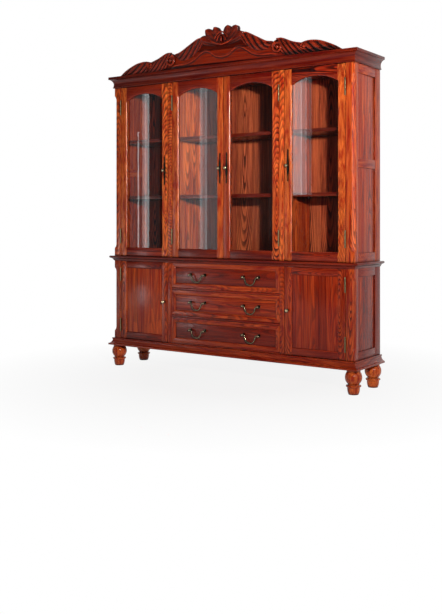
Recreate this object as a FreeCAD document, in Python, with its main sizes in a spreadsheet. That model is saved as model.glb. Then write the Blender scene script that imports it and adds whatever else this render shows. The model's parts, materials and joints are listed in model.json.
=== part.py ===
import FreeCAD, Part
import math
import os
from types import SimpleNamespace

import Sketcher

# A tall bookcase in two stages. The base holds two cupboards and three drawers on turned feet.
# The hutch above has four glass doors, six shelves, a cornice and a carved crest.
# Millimetres. X runs to the right, Y to the back, Z up. The origin is on the floor, in the
# middle of the width and depth over the mouldings.

SIZES = {
    # Whole case
    "overall_width": 2013,
    "overall_depth": 395,
    "moulding_projection": 33,
    "moulding_seat": 40,
    "foot_height": 152,
    "plinth_height": 51,
    "base_height": 562,
    "waist_height": 35,
    "hutch_height": 1220,
    "cornice_height": 80,
    # Corner posts
    "post_width": 60,
    "post_depth": 50,
    "post_chamfer": 17,
    "chamfer_stop": 30,
    "stop_scoop": 3,
    "hutch_post_block": 55,
    "base_post_block": 50,
    # Side frames and their panels
    "frame_thickness": 20,
    "back_stile_width": 75,
    "hutch_side_rail": 57,
    "middle_rail_height": 55,
    "middle_rail_rise": 584,
    "base_side_rail": 51,
    "side_panel_thickness": 12,
    "side_panel_recess": 6,
    "groove_depth": 8,
    "groove_clearance": 0.5,
    # Boards inside the case
    "base_bottom_thickness": 16,
    "hutch_board_thickness": 20,
    "partition_thickness": 18,
    "back_thickness": 8,
    "back_inset": 4,
    "shelf_thickness": 22,
    "shelf_setback": 4,
    "shelf_clearance": 0.5,
    "lower_shelf_rise": 412,
    "upper_shelf_rise": 817,
    "cupboard_shelf_rise": 267,
    "shelf_pin_radius": 3,
    "shelf_pin_depth": 8,
    "shelf_pin_reach": 10,
    "shelf_pin_setback": 25,
    # Bays across the front
    "centre_bay_width": 876,
    "mullion_width": 37,
    "drawer_bay_width": 886,
    "base_mullion_width": 32,
    # Doors
    "door_thickness": 22,
    "door_gap": 3,
    "stop_gap": 1,
    "door_stile": 52,
    "edge_bevel": 5,
    "glass_door_bottom_rail": 59,
    "glass_door_shoulder": 102,
    "arch_rise": 46,
    "sight_lip": 10,
    "rebate_width": 8,
    "glass_thickness": 4,
    "glass_clearance": 0.3,
    "lower_door_rail": 48,
    "door_panel_thickness": 10,
    "door_panel_recess": 7,
    # Drawers
    "drawer_rail": 15,
    "bottom_rail": 8,
    "drawer_gap": 2,
    "drawer_frame_width": 32,
    "drawer_frame_thickness": 8,
    "drawer_side_height": 120,
    "drawer_side_thickness": 12,
    "drawer_side_clearance": 3,
    "drawer_bottom_thickness": 6,
    "drawer_bottom_lift": 4,
    "drawer_length": 300,
    "runner_height": 10,
    "runner_width": 25,
    "guide_height": 14,
    "slide_clearance": 0.3,
    "guide_clearance": 0.5,
    # Butt hinges
    "barrel_radius": 4.5,
    "barrel_clearance": 0.3,
    "hinge_pin_radius": 2,
    "pin_clearance": 0.05,
    "leaf_width": 18,
    "leaf_gap": 0.2,
    "knuckle_gap": 0.3,
    "hinge_cap_height": 3,
    "hutch_hinge_length": 100,
    "hutch_hinge_inset": 92,
    "base_hinge_length": 88,
    "base_hinge_inset": 52,
    # Pulls, knobs and catches
    "pull_rise": 608,
    "pull_plate_height": 209,
    "pull_plate_width": 17,
    "pull_plate_thickness": 3,
    "pull_waist_width": 9,
    "pull_middle_height": 63,
    "pull_shoulder_height": 130,
    "pull_tip_height": 180,
    "pull_tip_swell": 2,
    "pull_knob_radius": 11,
    "pull_knob_reach": 26,
    "lower_knob_rise": 285,
    "lower_knob_radius": 12,
    "lower_knob_reach": 25,
    "knob_base_radius": 7,
    "knob_base_height": 3,
    "knob_neck_radius": 4.5,
    "knob_neck_height": 9,
    "catch_width": 30,
    "catch_height": 12,
    "catch_depth": 20,
    # Bail pulls
    "bail_offset": 219,
    "bail_post_spacing": 122,
    "bail_post_rise": 8,
    "rosette_radius": 11,
    "rosette_thickness": 2.5,
    "bail_stem_radius": 4.5,
    "bail_post_reach": 17,
    "bail_head_radius": 8.5,
    "bail_wire_radius": 3.8,
    "bail_inset": 10.5,
    "bail_bend": 7,
    "bail_drop": 50,
    "bail_corner": 34,
    # Turned feet
    "foot_side_setback": 21,
    "foot_front_setback": 28.5,
    "foot_back_setback": 61.5,
    "toe_radius": 31,
    "toe_swell": 3,
    "cup_radius": 38.5,
    "cup_height": 46,
    "collar_radius": 43,
    "collar_swell": 4,
    "collar_height": 12,
    "throat_radius": 35,
    "throat_height": 6,
    "bulb_swell": 15.5,
    "neck_radius": 40,
    "neck_height": 12,
    "foot_top_radius": 43,
    # Mouldings
    "plinth_toe": 11,
    "plinth_step": 10,
    "plinth_cove": 6,
    "plinth_bead": 10,
    "waist_setback": 2,
    "waist_foot": 4,
    "waist_nosing": 15,
    "waist_cove": 4,
    "cornice_bead": 10,
    "cornice_fascia": 6,
    "cornice_fascia_height": 8,
    "cornice_fillet": 18,
    "cornice_lip": 5,
    "cornice_cove": 9,
    # Carved crest
    "crest_setback": 21,
    "crest_thickness": 26,
    "crest_relief": 14,
    "crest_tip_x": 895,
    "crest_tip_z": 14,
    "outer_valley_x": 606,
    "outer_valley_z": 66,
    "outer_leaf_rise": 28,
    "inner_valley_x": 405,
    "inner_valley_z": 100,
    "scroll_rise": 30,
    "shoulder_foot_x": 320,
    "shoulder_foot_z": 124,
    "shoulder_x": 160,
    "shoulder_z": 178,
    "shoulder_rise": 26,
    "crown_x": 60,
    "crown_z": 222,
    "leaf_end": 31,
    "leaf_belly": 15,
    "leaf_tip": 8,
    "scroll_eye_x": 435,
    "scroll_eye_z": 62,
    "scroll_eye_radius": 15,
    "shell_root_z": 105,
    "shell_root_radius": 6,
    "shell_tip_radius": 18,
    "shell_inner_reach": 146,
    "shell_outer_reach": 190,
}

BACK_BOARDS = 14
SHELL_RIBS_EACH_SIDE = 4
SHELL_SPREAD_DEGREES = 57
SHELL_FIRST_DEGREES = 8
BEAD_SWELL = 0.4
BAIL_LEAN_DEGREES = 20

doc = FreeCAD.newDocument("GlassDoorBookcase")
sheet = doc.addObject("Spreadsheet::Sheet", "Sizes")
nodes = []


class Size:
    """A length with its present value and the sheet formula that gives it."""

    def __init__(self, value, formula):
        self.value = value
        self.formula = formula

    def __add__(self, other):
        other = as_size(other)
        return Size(self.value + other.value, f"({self.formula} + {other.formula})")

    def __sub__(self, other):
        other = as_size(other)
        return Size(self.value - other.value, f"({self.formula} - {other.formula})")

    def __mul__(self, other):
        other = as_size(other)
        return Size(self.value * other.value, f"({self.formula} * {other.formula})")

    def __truediv__(self, other):
        other = as_size(other)
        return Size(self.value / other.value, f"({self.formula} / {other.formula})")

    def __neg__(self):
        return Size(-self.value, f"(0 - {self.formula})")


def as_size(item):
    """The item itself if it is a size, or a plain number as one."""
    if isinstance(item, Size):
        return item
    return Size(float(item), f"({float(item)!r})")


def fill_sheet():
    """Writes the driving dimensions into the sheet and returns them as named sizes."""
    named = {}
    for row, (alias, value) in enumerate(SIZES.items(), 1):
        sheet.set(f"A{row}", alias)
        sheet.set(f"B{row}", str(value))
        sheet.setAlias(f"B{row}", alias)
        named[alias] = Size(float(value), f"Sizes.{alias}")
    doc.recompute()
    return SimpleNamespace(**named)


D = fill_sheet()
ZERO = as_size(0)

# Planes and levels that the pieces share
half_width = D.overall_width / 2
case_x = half_width - D.moulding_projection
front_y = D.moulding_projection - D.overall_depth / 2
back_y = D.overall_depth / 2
plinth_z = D.foot_height
base_z = plinth_z + D.plinth_height
waist_z = base_z + D.base_height
hutch_z = waist_z + D.waist_height
cornice_z = hutch_z + D.hutch_height
crest_z = cornice_z + D.cornice_height
post_x = case_x - D.post_width
post_y = front_y + D.post_depth
side_x = case_x - D.frame_thickness
stile_y = back_y - D.back_stile_width
door_back_y = front_y + D.door_thickness
board_y = door_back_y + D.stop_gap
back_panel_y = back_y - D.back_inset - D.back_thickness
mullion_x = D.centre_bay_width / 2
mullion_outer_x = mullion_x + D.mullion_width
base_mullion_x = D.drawer_bay_width / 2
base_mullion_outer_x = base_mullion_x + D.base_mullion_width
base_board_z = base_z + D.base_bottom_thickness
shelf_y = post_y + D.shelf_setback
drawer_pitch = (D.base_height - D.bottom_rail - D.drawer_rail * 2) / 3 + D.drawer_rail


def place(piece, x, y, z):
    """Ties a piece's position to three sizes."""
    for axis, size in zip("xyz", (x, y, z)):
        piece.setExpression(f"Placement.Base.{axis}", as_size(size).formula)


def span(side, inner, outer):
    """The x range between two distances from the middle, on the right (1) or the left (-1)."""
    return (inner, outer) if side > 0 else (-outer, -inner)


def box(name, x, y, z):
    """A board between two x, two y and two z positions."""
    piece = doc.addObject("Part::Box", name)
    for side, (low, high) in zip(("Length", "Width", "Height"), (x, y, z)):
        piece.setExpression(side, (high - low).formula)
    place(piece, x[0], y[0], z[0])
    return piece


def rod(name, radius, length, start, direction="z"):
    """A cylinder from a start point along x, y or z."""
    turns = {"x": (FreeCAD.Vector(0, 1, 0), 90), "y": (FreeCAD.Vector(1, 0, 0), -90),
             "z": (FreeCAD.Vector(0, 0, 1), 0)}
    piece = doc.addObject("Part::Cylinder", name)
    piece.setExpression("Radius", radius.formula)
    piece.setExpression("Height", length.formula)
    piece.Placement = FreeCAD.Placement(FreeCAD.Vector(), FreeCAD.Rotation(*turns[direction]))
    place(piece, *start)
    return piece


def ball(name, radius, centre):
    """A sphere about a centre."""
    piece = doc.addObject("Part::Sphere", name)
    piece.setExpression("Radius", radius.formula)
    place(piece, *centre)
    return piece


def fuse(name, *shapes):
    """One solid made of several that overlap or touch."""
    piece = doc.addObject("Part::MultiFuse", name)
    piece.Shapes = list(shapes)
    return piece


def cut(name, base, *tools):
    """A piece with the tools' shapes taken out of it."""
    piece = doc.addObject("Part::Cut", name)
    piece.Base = base
    piece.Tool = tools[0] if len(tools) == 1 else fuse(name + "_tools", *tools)
    return piece


def node(label, *pieces):
    """A named sub-part: one piece, or a group of separate ones."""
    group = doc.addObject("Part::Compound", label)
    group.Label = label
    group.Links = list(pieces)
    nodes.append(group)
    return group


def draw(body, name, role, outline, offset=ZERO):
    """A closed sketch of straight runs and arcs on one of the body's own planes.

    A point is (u, v), or (u, v, sagitta, side) where an arc runs to the next point and
    swells by the sagitta to the left (1) or the right (-1) of that run.
    """
    plane = next(item for item in body.Origin.OriginFeatures if item.Role == role)
    sketch = body.newObject("Sketcher::SketchObject", name)
    sketch.AttachmentSupport = [(plane, "")]
    sketch.MapMode = "FlatFace"
    sketch.setExpression("AttachmentOffset.Base.z", offset.formula)
    count = len(outline)
    ends = [draw_run(sketch, outline[index], outline[(index + 1) % count]) for index in range(count)]
    for index, (start, _) in enumerate(ends):
        before = (index - 1) % count
        pin_point(sketch, index, start, outline[index])
        sketch.addConstraint(Sketcher.Constraint("Coincident", before, ends[before][1], index, start))
    return sketch


def pin_point(sketch, run, end, point):
    """Holds one end of a run at its place in the sketch."""
    for kind, size in (("DistanceX", point[0]), ("DistanceY", point[1])):
        size = as_size(size)
        index = sketch.addConstraint(Sketcher.Constraint(kind, run, end, size.value))
        sketch.setExpression(f"Constraints[{index}]", size.formula)


def draw_run(sketch, point, after):
    """Adds a line or an arc and returns which of its ends are its start and its finish."""
    u, v = as_size(point[0]), as_size(point[1])
    du, dv = as_size(after[0]) - u, as_size(after[1]) - v
    start = FreeCAD.Vector(u.value, v.value, 0)
    finish = start + FreeCAD.Vector(du.value, dv.value, 0)
    if len(point) == 2:
        sketch.addGeometry(Part.LineSegment(start, finish))
        return 1, 2
    sagitta, side = as_size(point[2]), point[3]
    radius = (du * du + dv * dv) / (sagitta * 8) + sagitta / 2
    chord = finish - start
    left = FreeCAD.Vector(-chord.y, chord.x, 0).normalize()
    centre = (start + finish) / 2 + left * side * (sagitta.value - radius.value)
    first, last = (finish, start) if side > 0 else (start, finish)
    angles = [math.atan2(p.y - centre.y, p.x - centre.x) for p in (first, last)]
    if angles[1] < angles[0]:
        angles[1] += 2 * math.pi
    circle = Part.Circle(centre, FreeCAD.Vector(0, 0, 1), radius.value)
    run = sketch.addGeometry(Part.ArcOfCircle(circle, *angles))
    index = sketch.addConstraint(Sketcher.Constraint("Radius", run, radius.value))
    sketch.setExpression(f"Constraints[{index}]", radius.formula)
    return (2, 1) if side > 0 else (1, 2)


def pad(name, role, outline, low, high):
    """A body padded from an outline, between two positions square to its plane."""
    offset = -high if role == "XZ_Plane" else low
    body = doc.addObject("PartDesign::Body", name)
    sketch = draw(body, name + "_outline", role, outline, offset)
    feature = body.newObject("PartDesign::Pad", name + "_pad")
    feature.Profile = sketch
    feature.setExpression("Length", (high - low).formula)
    body.Tip = feature
    return body


def turned(name, role, outline, place_at):
    """A body turned about the upright axis of its sketch."""
    body = doc.addObject("PartDesign::Body", name)
    sketch = draw(body, name + "_outline", role, outline)
    feature = body.newObject("PartDesign::Revolution", name + "_turning")
    feature.Profile = sketch
    feature.ReferenceAxis = (sketch, ["V_Axis"])
    feature.Angle = 360
    body.Tip = feature
    place(body, *place_at)
    return body


# Feet, plinth and base case

def foot_outline():
    """Half section of a turned foot: toe, cup, ring collar, throat, bulb and neck."""
    collar_z = D.cup_height + D.collar_height
    bulb_z = collar_z + D.throat_height
    neck_z = D.foot_height - D.neck_height
    return [
        (ZERO, ZERO),
        (D.toe_radius, ZERO, D.toe_swell, -1),
        (D.cup_radius, D.cup_height),
        (D.collar_radius, D.cup_height, D.collar_swell, -1),
        (D.collar_radius, collar_z),
        (D.throat_radius, collar_z),
        (D.throat_radius, bulb_z, D.bulb_swell, -1),
        (D.neck_radius, neck_z),
        (D.foot_top_radius, neck_z),
        (D.foot_top_radius, D.foot_height),
        (ZERO, D.foot_height),
    ]


def make_feet():
    foot_x = case_x - D.foot_side_setback
    rows = {"front": front_y + D.foot_front_setback, "back": back_y - D.foot_back_setback}
    feet = []
    for row, y in rows.items():
        for name, x in (("left", -foot_x), ("right", foot_x)):
            feet.append(turned(f"foot_{row}_{name}", "XZ_Plane", foot_outline(), (x, y, 0)))
    node("turned_feet", *feet)


def moulding_strips(label, profile, inner):
    """Front strip and two returns of one profile, mitred at the front corners.

    The profile is drawn as (projection from the case face, height); inner is how far the
    strips reach behind that face.
    """
    reach = max(point[0].value for point in profile)
    tip = next(point[0] for point in profile if point[0].value == reach)
    corner_x, corner_y = case_x + tip, front_y - tip
    levels = sorted((point[1] for point in profile), key=lambda size: size.value)
    depth = (tip + inner) * 2
    strips = []

    def outline(position, mirror):
        return [(position(point[0]), point[1]) + ((point[2], point[3] * mirror) if len(point) > 2 else ())
                for point in profile]

    def mitre(name, side, degrees):
        tool = box(name, (ZERO, depth), (ZERO, depth), (levels[0], levels[-1]))
        tool.Placement = FreeCAD.Placement(FreeCAD.Vector(),
                                           FreeCAD.Rotation(FreeCAD.Vector(0, 0, 1), degrees))
        place(tool, corner_x * side, corner_y, levels[0])
        return tool

    front = pad(label + "_front", "YZ_Plane", outline(lambda out: front_y - out, -1), -corner_x, corner_x)
    strips.append(cut(label + "_front_mitred", front,
                      mitre(label + "_mitre_right", 1, 45), mitre(label + "_mitre_left", -1, 45)))
    for name, side, degrees in (("left", -1, -45), ("right", 1, 135)):
        blank = pad(f"{label}_{name}", "XZ_Plane",
                    outline(lambda out, side=side: (case_x + out) * side, side), corner_y, back_y)
        strips.append(cut(f"{label}_{name}_mitred", blank, mitre(f"{label}_{name}_mitre", side, degrees)))
    return strips


def make_plinth():
    """Moulded frame that the base stands on: toe, swept cove and bead, with a plain back rail."""
    seat, tip = -D.moulding_seat, D.moulding_projection
    bead_z = base_z - D.plinth_bead
    step_z = bead_z - D.plinth_cove / 2
    profile = [
        (seat, plinth_z),
        (tip, plinth_z),
        (tip, plinth_z + D.plinth_toe, D.plinth_cove, 1),
        (D.plinth_step, step_z),
        (D.plinth_step, bead_z, D.plinth_bead * BEAD_SWELL, -1),
        (D.plinth_step, base_z),
        (seat, base_z),
    ]
    strips = moulding_strips("plinth", profile, D.moulding_seat)
    inner_x = case_x - D.moulding_seat
    rail = box("plinth_back_rail", (-inner_x, inner_x), (back_y - D.moulding_seat, back_y),
               (plinth_z, base_z))
    node("plinth_frame", *strips, rail)


def corner_post(name, side, z_low, z_high, block, grooves):
    """A corner post whose outer arris is chamfered between two scooped stops."""
    blank = box(name + "_blank", span(side, post_x, case_x), (front_y, post_y), (z_low, z_high))
    depth = D.post_chamfer * math.sqrt(0.5)
    low, high = z_low + block, z_high - block
    chamfer = pad(name + "_chamfer", "XZ_Plane", [
        (-depth, low),
        (ZERO, low, D.stop_scoop, -1),
        (depth, low + D.chamfer_stop),
        (depth, high - D.chamfer_stop, D.stop_scoop, -1),
        (ZERO, high),
        (-depth, high),
    ], -D.post_chamfer * 2, D.post_chamfer * 2)
    inward = FreeCAD.Rotation(FreeCAD.Vector(0, 0, 1), 135 if side > 0 else 45)
    chamfer.Placement = FreeCAD.Placement(FreeCAD.Vector(), inward)
    place(chamfer, case_x * side, front_y, 0)
    return cut(name, blank, chamfer, *grooves)


def side_panel(name, side, z_low, z_high, margin):
    """The panel between two rails of a side frame, or its groove with a wider margin."""
    outer = case_x - D.side_panel_recess
    return box(name, span(side, outer - D.side_panel_thickness, outer),
               (post_y - margin, stile_y + margin), (z_low - margin, z_high + margin))


def side_frames(stage, z_low, z_high, block, rails):
    """Posts, back stile, rails and panels of both sides of one stage of the case."""
    posts, frames, panels = [], [], []
    for name, side in (("left", -1), ("right", 1)):
        fields = list(zip(rails[:-1], rails[1:]))
        grooves = []
        for index, (below, above) in enumerate(fields):
            label = f"{stage}_{name}_panel_{index + 1}"
            grooves.append(side_panel(label + "_groove", side, below[1], above[0], D.groove_depth))
            panels.append(side_panel(label, side, below[1], above[0], D.groove_depth - D.groove_clearance))
        posts.append(corner_post(f"{stage}_{name}_post", side, z_low, z_high, block, grooves))
        thick = span(side, side_x, case_x)
        stile = box(f"{stage}_{name}_stile_blank", thick, (stile_y, back_y), (z_low, z_high))
        frames.append(cut(f"{stage}_{name}_stile", stile, *grooves))
        for index, (low, high) in enumerate(rails):
            rail = box(f"{stage}_{name}_rail_{index + 1}_blank", thick, (post_y, stile_y), (low, high))
            frames.append(cut(f"{stage}_{name}_rail_{index + 1}", rail, *grooves))
    return posts, frames, panels


def case_board(name, z_low, z_high):
    """A board across the case behind the doors, notched round the corner posts."""
    blank = box(name + "_blank", (-side_x, side_x), (board_y, back_panel_y), (z_low, z_high))
    notches = [box(f"{name}_notch_{text}", span(side, post_x, case_x), (front_y, post_y), (z_low, z_high))
               for text, side in (("left", -1), ("right", 1))]
    return cut(name, blank, *notches)


def pin_row(name, wall_x, toward, shelf_z):
    """Two shelf pins set into a wall at wall_x and reaching under a shelf toward 1 or -1."""
    pins, holes = [], []
    z = shelf_z - D.shelf_pin_radius
    start_x = wall_x - D.shelf_pin_depth if toward > 0 else wall_x - D.shelf_pin_reach
    length = D.shelf_pin_depth + D.shelf_pin_reach
    rows = {"front": shelf_y + D.shelf_pin_setback, "back": back_panel_y - D.shelf_pin_setback}
    for row, y in rows.items():
        pins.append(rod(f"{name}_{row}", D.shelf_pin_radius, length, (start_x, y, z), "x"))
        holes.append(rod(f"{name}_{row}_hole", D.shelf_pin_radius + D.pin_clearance, length,
                         (start_x, y, z), "x"))
    return pins, holes


def shelf(name, x_low, x_high, z):
    """A loose shelf between two walls."""
    return box(name, (x_low + D.shelf_clearance, x_high - D.shelf_clearance),
               (shelf_y, back_panel_y - D.shelf_clearance), (z, z + D.shelf_thickness))


def drilled(pieces, holes):
    """The pieces with the pin holes drilled into them."""
    return [cut(piece.Name + "_drilled", piece, *holes) for piece in pieces]


def make_base():
    rails = [(base_z, base_z + D.base_side_rail), (waist_z - D.base_side_rail, waist_z)]
    posts, frames, panels = side_frames("base", base_z, waist_z, D.base_post_block, rails)
    shelf_z = base_z + D.cupboard_shelf_rise
    middle_x = base_mullion_x + D.base_mullion_width / 2
    wall_low, wall_high = middle_x - D.partition_thickness / 2, middle_x + D.partition_thickness / 2
    partitions, mullions, shelves, pins, holes = [], [], [], [], []
    for name, side in (("left", -1), ("right", 1)):
        inner_pins, inner_holes = pin_row(f"cupboard_{name}_inner_pin", wall_high * side, side, shelf_z)
        outer_pins, outer_holes = pin_row(f"cupboard_{name}_outer_pin", side_x * side, -side, shelf_z)
        pins += inner_pins + outer_pins
        holes += outer_holes
        wall = box(f"base_partition_{name}_blank", span(side, wall_low, wall_high),
                   (board_y, back_panel_y), (base_board_z, waist_z))
        partitions.append(cut(f"base_partition_{name}", wall, *inner_holes))
        mullions.append(box(f"base_mullion_{name}", span(side, base_mullion_x, base_mullion_outer_x),
                            (front_y, board_y), (base_z, waist_z)))
        low, high = span(side, wall_high, side_x)
        shelves.append(shelf(f"cupboard_shelf_{name}", low, high, shelf_z))
    node("base_corner_posts", *posts)
    node("base_side_frames", *drilled(frames, holes))
    node("base_side_panels", *drilled(panels, holes))
    node("base_partitions", *partitions, *mullions)
    node("base_bottom_board", case_board("base_bottom", base_z, base_board_z))
    node("base_back_panel", box("base_back", (-side_x, side_x),
                                (back_panel_y, back_panel_y + D.back_thickness), (base_z, waist_z)))
    return shelves, pins


# Waist, hutch and cornice

def make_waist():
    """Board between base and hutch, with a nosed and coved edge on three sides."""
    nosing_z = hutch_z - D.waist_nosing
    bulge = D.waist_nosing * BEAD_SWELL
    edge = D.moulding_projection - D.waist_setback - bulge
    profile = [
        (ZERO, waist_z),
        (D.waist_foot, waist_z, D.waist_cove, 1),
        (edge, nosing_z, bulge, -1),
        (edge, hutch_z),
        (ZERO, hutch_z),
    ]
    core = box("waist_core", (-case_x, case_x), (front_y, back_y), (waist_z, hutch_z))
    node("waist_board", core)
    node("waist_moulding", *moulding_strips("waist", profile, ZERO))


def make_hutch():
    middle_z = hutch_z + D.middle_rail_rise
    rails = [(hutch_z, hutch_z + D.hutch_side_rail), (middle_z, middle_z + D.middle_rail_height),
             (cornice_z - D.hutch_side_rail, cornice_z)]
    posts, frames, panels = side_frames("hutch", hutch_z, cornice_z, D.hutch_post_block, rails)
    floor_z, ceiling_z = hutch_z + D.hutch_board_thickness, cornice_z - D.hutch_board_thickness
    middle_x = mullion_x + D.mullion_width / 2
    wall_low, wall_high = middle_x - D.partition_thickness / 2, middle_x + D.partition_thickness / 2
    levels = {"lower": hutch_z + D.lower_shelf_rise, "upper": hutch_z + D.upper_shelf_rise}
    shelves, pins, side_holes = [], [], []
    wall_holes = {-1: [], 1: []}
    for level, z in levels.items():
        shelves.append(shelf(f"shelf_{level}_centre", -wall_low, wall_low, z))
        for name, side in (("left", -1), ("right", 1)):
            low, high = span(side, wall_high, side_x)
            shelves.append(shelf(f"shelf_{level}_{name}", low, high, z))
            walls = (("centre", wall_low, -side), ("inner", wall_high, side), ("outer", side_x, -side))
            for wall, x, toward in walls:
                row_pins, row_holes = pin_row(f"shelf_{level}_{name}_{wall}_pin", x * side, toward, z)
                pins += row_pins
                (side_holes if wall == "outer" else wall_holes[side]).extend(row_holes)
    walls, mullions = [], []
    for name, side in (("left", -1), ("right", 1)):
        wall = box(f"hutch_partition_{name}_blank", span(side, wall_low, wall_high),
                   (board_y, back_panel_y), (floor_z, ceiling_z))
        walls.append(cut(f"hutch_partition_{name}", wall, *wall_holes[side]))
        mullions.append(box(f"hutch_mullion_{name}", span(side, mullion_x, mullion_outer_x),
                            (front_y, board_y), (hutch_z, cornice_z)))
    node("hutch_corner_posts", *posts)
    node("hutch_side_frames", *drilled(frames, side_holes))
    node("hutch_side_panels", *drilled(panels, side_holes))
    node("hutch_partitions", *walls, *mullions)
    node("hutch_floor_and_top", case_board("hutch_floor", hutch_z, floor_z),
         case_board("hutch_top", ceiling_z, cornice_z))
    make_back_boards()
    return shelves, pins


def make_back_boards():
    """Upright boards side by side across the back of the hutch."""
    board_width = side_x * 2 / BACK_BOARDS
    boards = []
    for index in range(BACK_BOARDS):
        low = -side_x + board_width * index
        boards.append(box(f"back_board_{index + 1}", (low, low + board_width),
                          (back_panel_y, back_panel_y + D.back_thickness), (hutch_z, cornice_z)))
    node("hutch_back_boards", *boards)


def make_cornice():
    """Crown moulding on the front and sides: bead, fascia, cove and a square top fillet."""
    seat, tip = -D.moulding_seat, D.moulding_projection
    fascia = D.cornice_fascia
    bead_top = cornice_z + D.cornice_bead
    cove_low = bead_top + D.cornice_fascia_height
    cove_high = crest_z - D.cornice_fillet
    profile = [
        (seat, cornice_z),
        (fascia, cornice_z, D.cornice_bead * BEAD_SWELL, -1),
        (fascia, bead_top),
        (fascia, cove_low, D.cornice_cove, 1),
        (tip - D.cornice_lip, cove_high),
        (tip, cove_high),
        (tip, crest_z),
        (seat, crest_z),
    ]
    node("cornice_moulding", *moulding_strips("cornice", profile, D.moulding_seat))


# Hinges

def hinge(name, axis_x, door_side, z_low, length):
    """One butt hinge: the fixed leaf, the door's leaf and the capped pin between them.

    The door lies on the door_side of the axis, so the fixed leaf lies on the other.
    """
    axis_y = front_y - D.barrel_radius - D.barrel_clearance
    third = length / 3
    knuckles = {
        "fixed": [(z_low, z_low + third - D.knuckle_gap),
                  (z_low + third * 2 + D.knuckle_gap, z_low + length)],
        "door": [(z_low + third, z_low + third * 2)],
    }
    clearance = {"fixed": D.pin_clearance / 2, "door": D.pin_clearance}
    leaves = {}
    for kind, side in (("fixed", -door_side), ("door", door_side)):
        near, far = D.leaf_gap / 2, D.door_gap / 2
        reach = tuple(axis_x + edge for edge in span(side, near, far))
        solids = [box(f"{name}_{kind}_plate", reach, (front_y, front_y + D.leaf_width),
                      (z_low, z_low + length))]
        for index, (low, high) in enumerate(knuckles[kind]):
            solids.append(box(f"{name}_{kind}_tab_{index}", reach, (axis_y, front_y + D.leaf_width / 2),
                              (low, high)))
            solids.append(rod(f"{name}_{kind}_knuckle_{index}", D.barrel_radius, high - low,
                              (axis_x, axis_y, low)))
        bore = rod(f"{name}_{kind}_bore", D.hinge_pin_radius + clearance[kind], length,
                   (axis_x, axis_y, z_low))
        leaves[kind] = cut(f"{name}_{kind}_leaf", fuse(f"{name}_{kind}_blank", *solids), bore)
    pin = [rod(name + "_pin_shank", D.hinge_pin_radius, length, (axis_x, axis_y, z_low))]
    for end, z in (("top", z_low + length), ("bottom", z_low - D.hinge_cap_height)):
        pin.append(rod(f"{name}_pin_{end}", D.barrel_radius, D.hinge_cap_height, (axis_x, axis_y, z)))
    return leaves["fixed"], leaves["door"], fuse(name + "_pin", *pin)


def hinge_pair(name, axis_x, door_side, z_low, z_high, inset, length):
    """Two hinges on one door: fixed leaves, door leaves and pins."""
    lower = hinge(name + "_lower", axis_x, door_side, z_low + inset, length)
    upper = hinge(name + "_upper", axis_x, door_side, z_high - inset - length, length)
    return [list(pair) for pair in zip(lower, upper)]


# Doors

def sight_bevel(name, x, z, open_top):
    """Cutter that bevels the front arrises round a door's or a drawer's sunk field."""
    cutter = doc.addObject("Part::Wedge", name)
    bevel = D.edge_bevel
    top = z[1] if open_top else z[1] + bevel
    sizes = {
        "Xmin": x[0] - bevel, "Xmax": x[1] + bevel, "X2min": x[0], "X2max": x[1],
        "Ymin": front_y, "Ymax": front_y + bevel,
        "Zmin": z[0] - bevel, "Zmax": top, "Z2min": z[0], "Z2max": z[1],
    }
    for prop, size in sizes.items():
        cutter.setExpression(prop, size.formula)
    return cutter


def glass_door_frame(name, x, z):
    """Stiles, bottom rail, arched top rail, glazing beads and the pane of one glass door."""
    sight_x = (x[0] + D.door_stile, x[1] - D.door_stile)
    sill_z = z[0] + D.glass_door_bottom_rail
    shoulder_z = z[1] - D.glass_door_shoulder
    crown_z = shoulder_z + D.arch_rise
    depth, lip_y = (front_y, door_back_y), front_y + D.sight_lip
    rebate_x = (sight_x[0] - D.rebate_width, sight_x[1] + D.rebate_width)
    rebate_z = (sill_z - D.rebate_width, crown_z + D.rebate_width)
    rebate = box(name + "_rebate", rebate_x, (lip_y, door_back_y), rebate_z)
    bevel = sight_bevel(name + "_bevel", sight_x, (sill_z, shoulder_z), True)
    pieces = []
    for text, edges in (("left", (x[0], sight_x[0])), ("right", (sight_x[1], x[1]))):
        blank = box(f"{name}_{text}_stile_blank", edges, depth, z)
        pieces.append(cut(f"{name}_{text}_stile", blank, rebate, bevel))
    blank = box(name + "_bottom_rail_blank", sight_x, depth, (z[0], sill_z))
    pieces.append(cut(name + "_bottom_rail", blank, rebate, bevel))
    pieces.append(arched_rail(name, sight_x, (shoulder_z, z[1]), rebate))
    bead_y = (lip_y + D.glass_thickness, door_back_y)
    for text, edges in (("left", (rebate_x[0], sight_x[0])), ("right", (sight_x[1], rebate_x[1]))):
        pieces.append(box(f"{name}_{text}_bead", edges, bead_y, rebate_z))
    for text, levels in (("bottom", (rebate_z[0], sill_z)), ("top", (crown_z, rebate_z[1]))):
        pieces.append(box(f"{name}_{text}_bead", sight_x, bead_y, levels))
    fit = D.glass_clearance
    pane = box(name + "_glass", (rebate_x[0] + fit, rebate_x[1] - fit), (lip_y, bead_y[0]),
               (rebate_z[0] + fit, rebate_z[1] - fit))
    return pieces, pane


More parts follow.
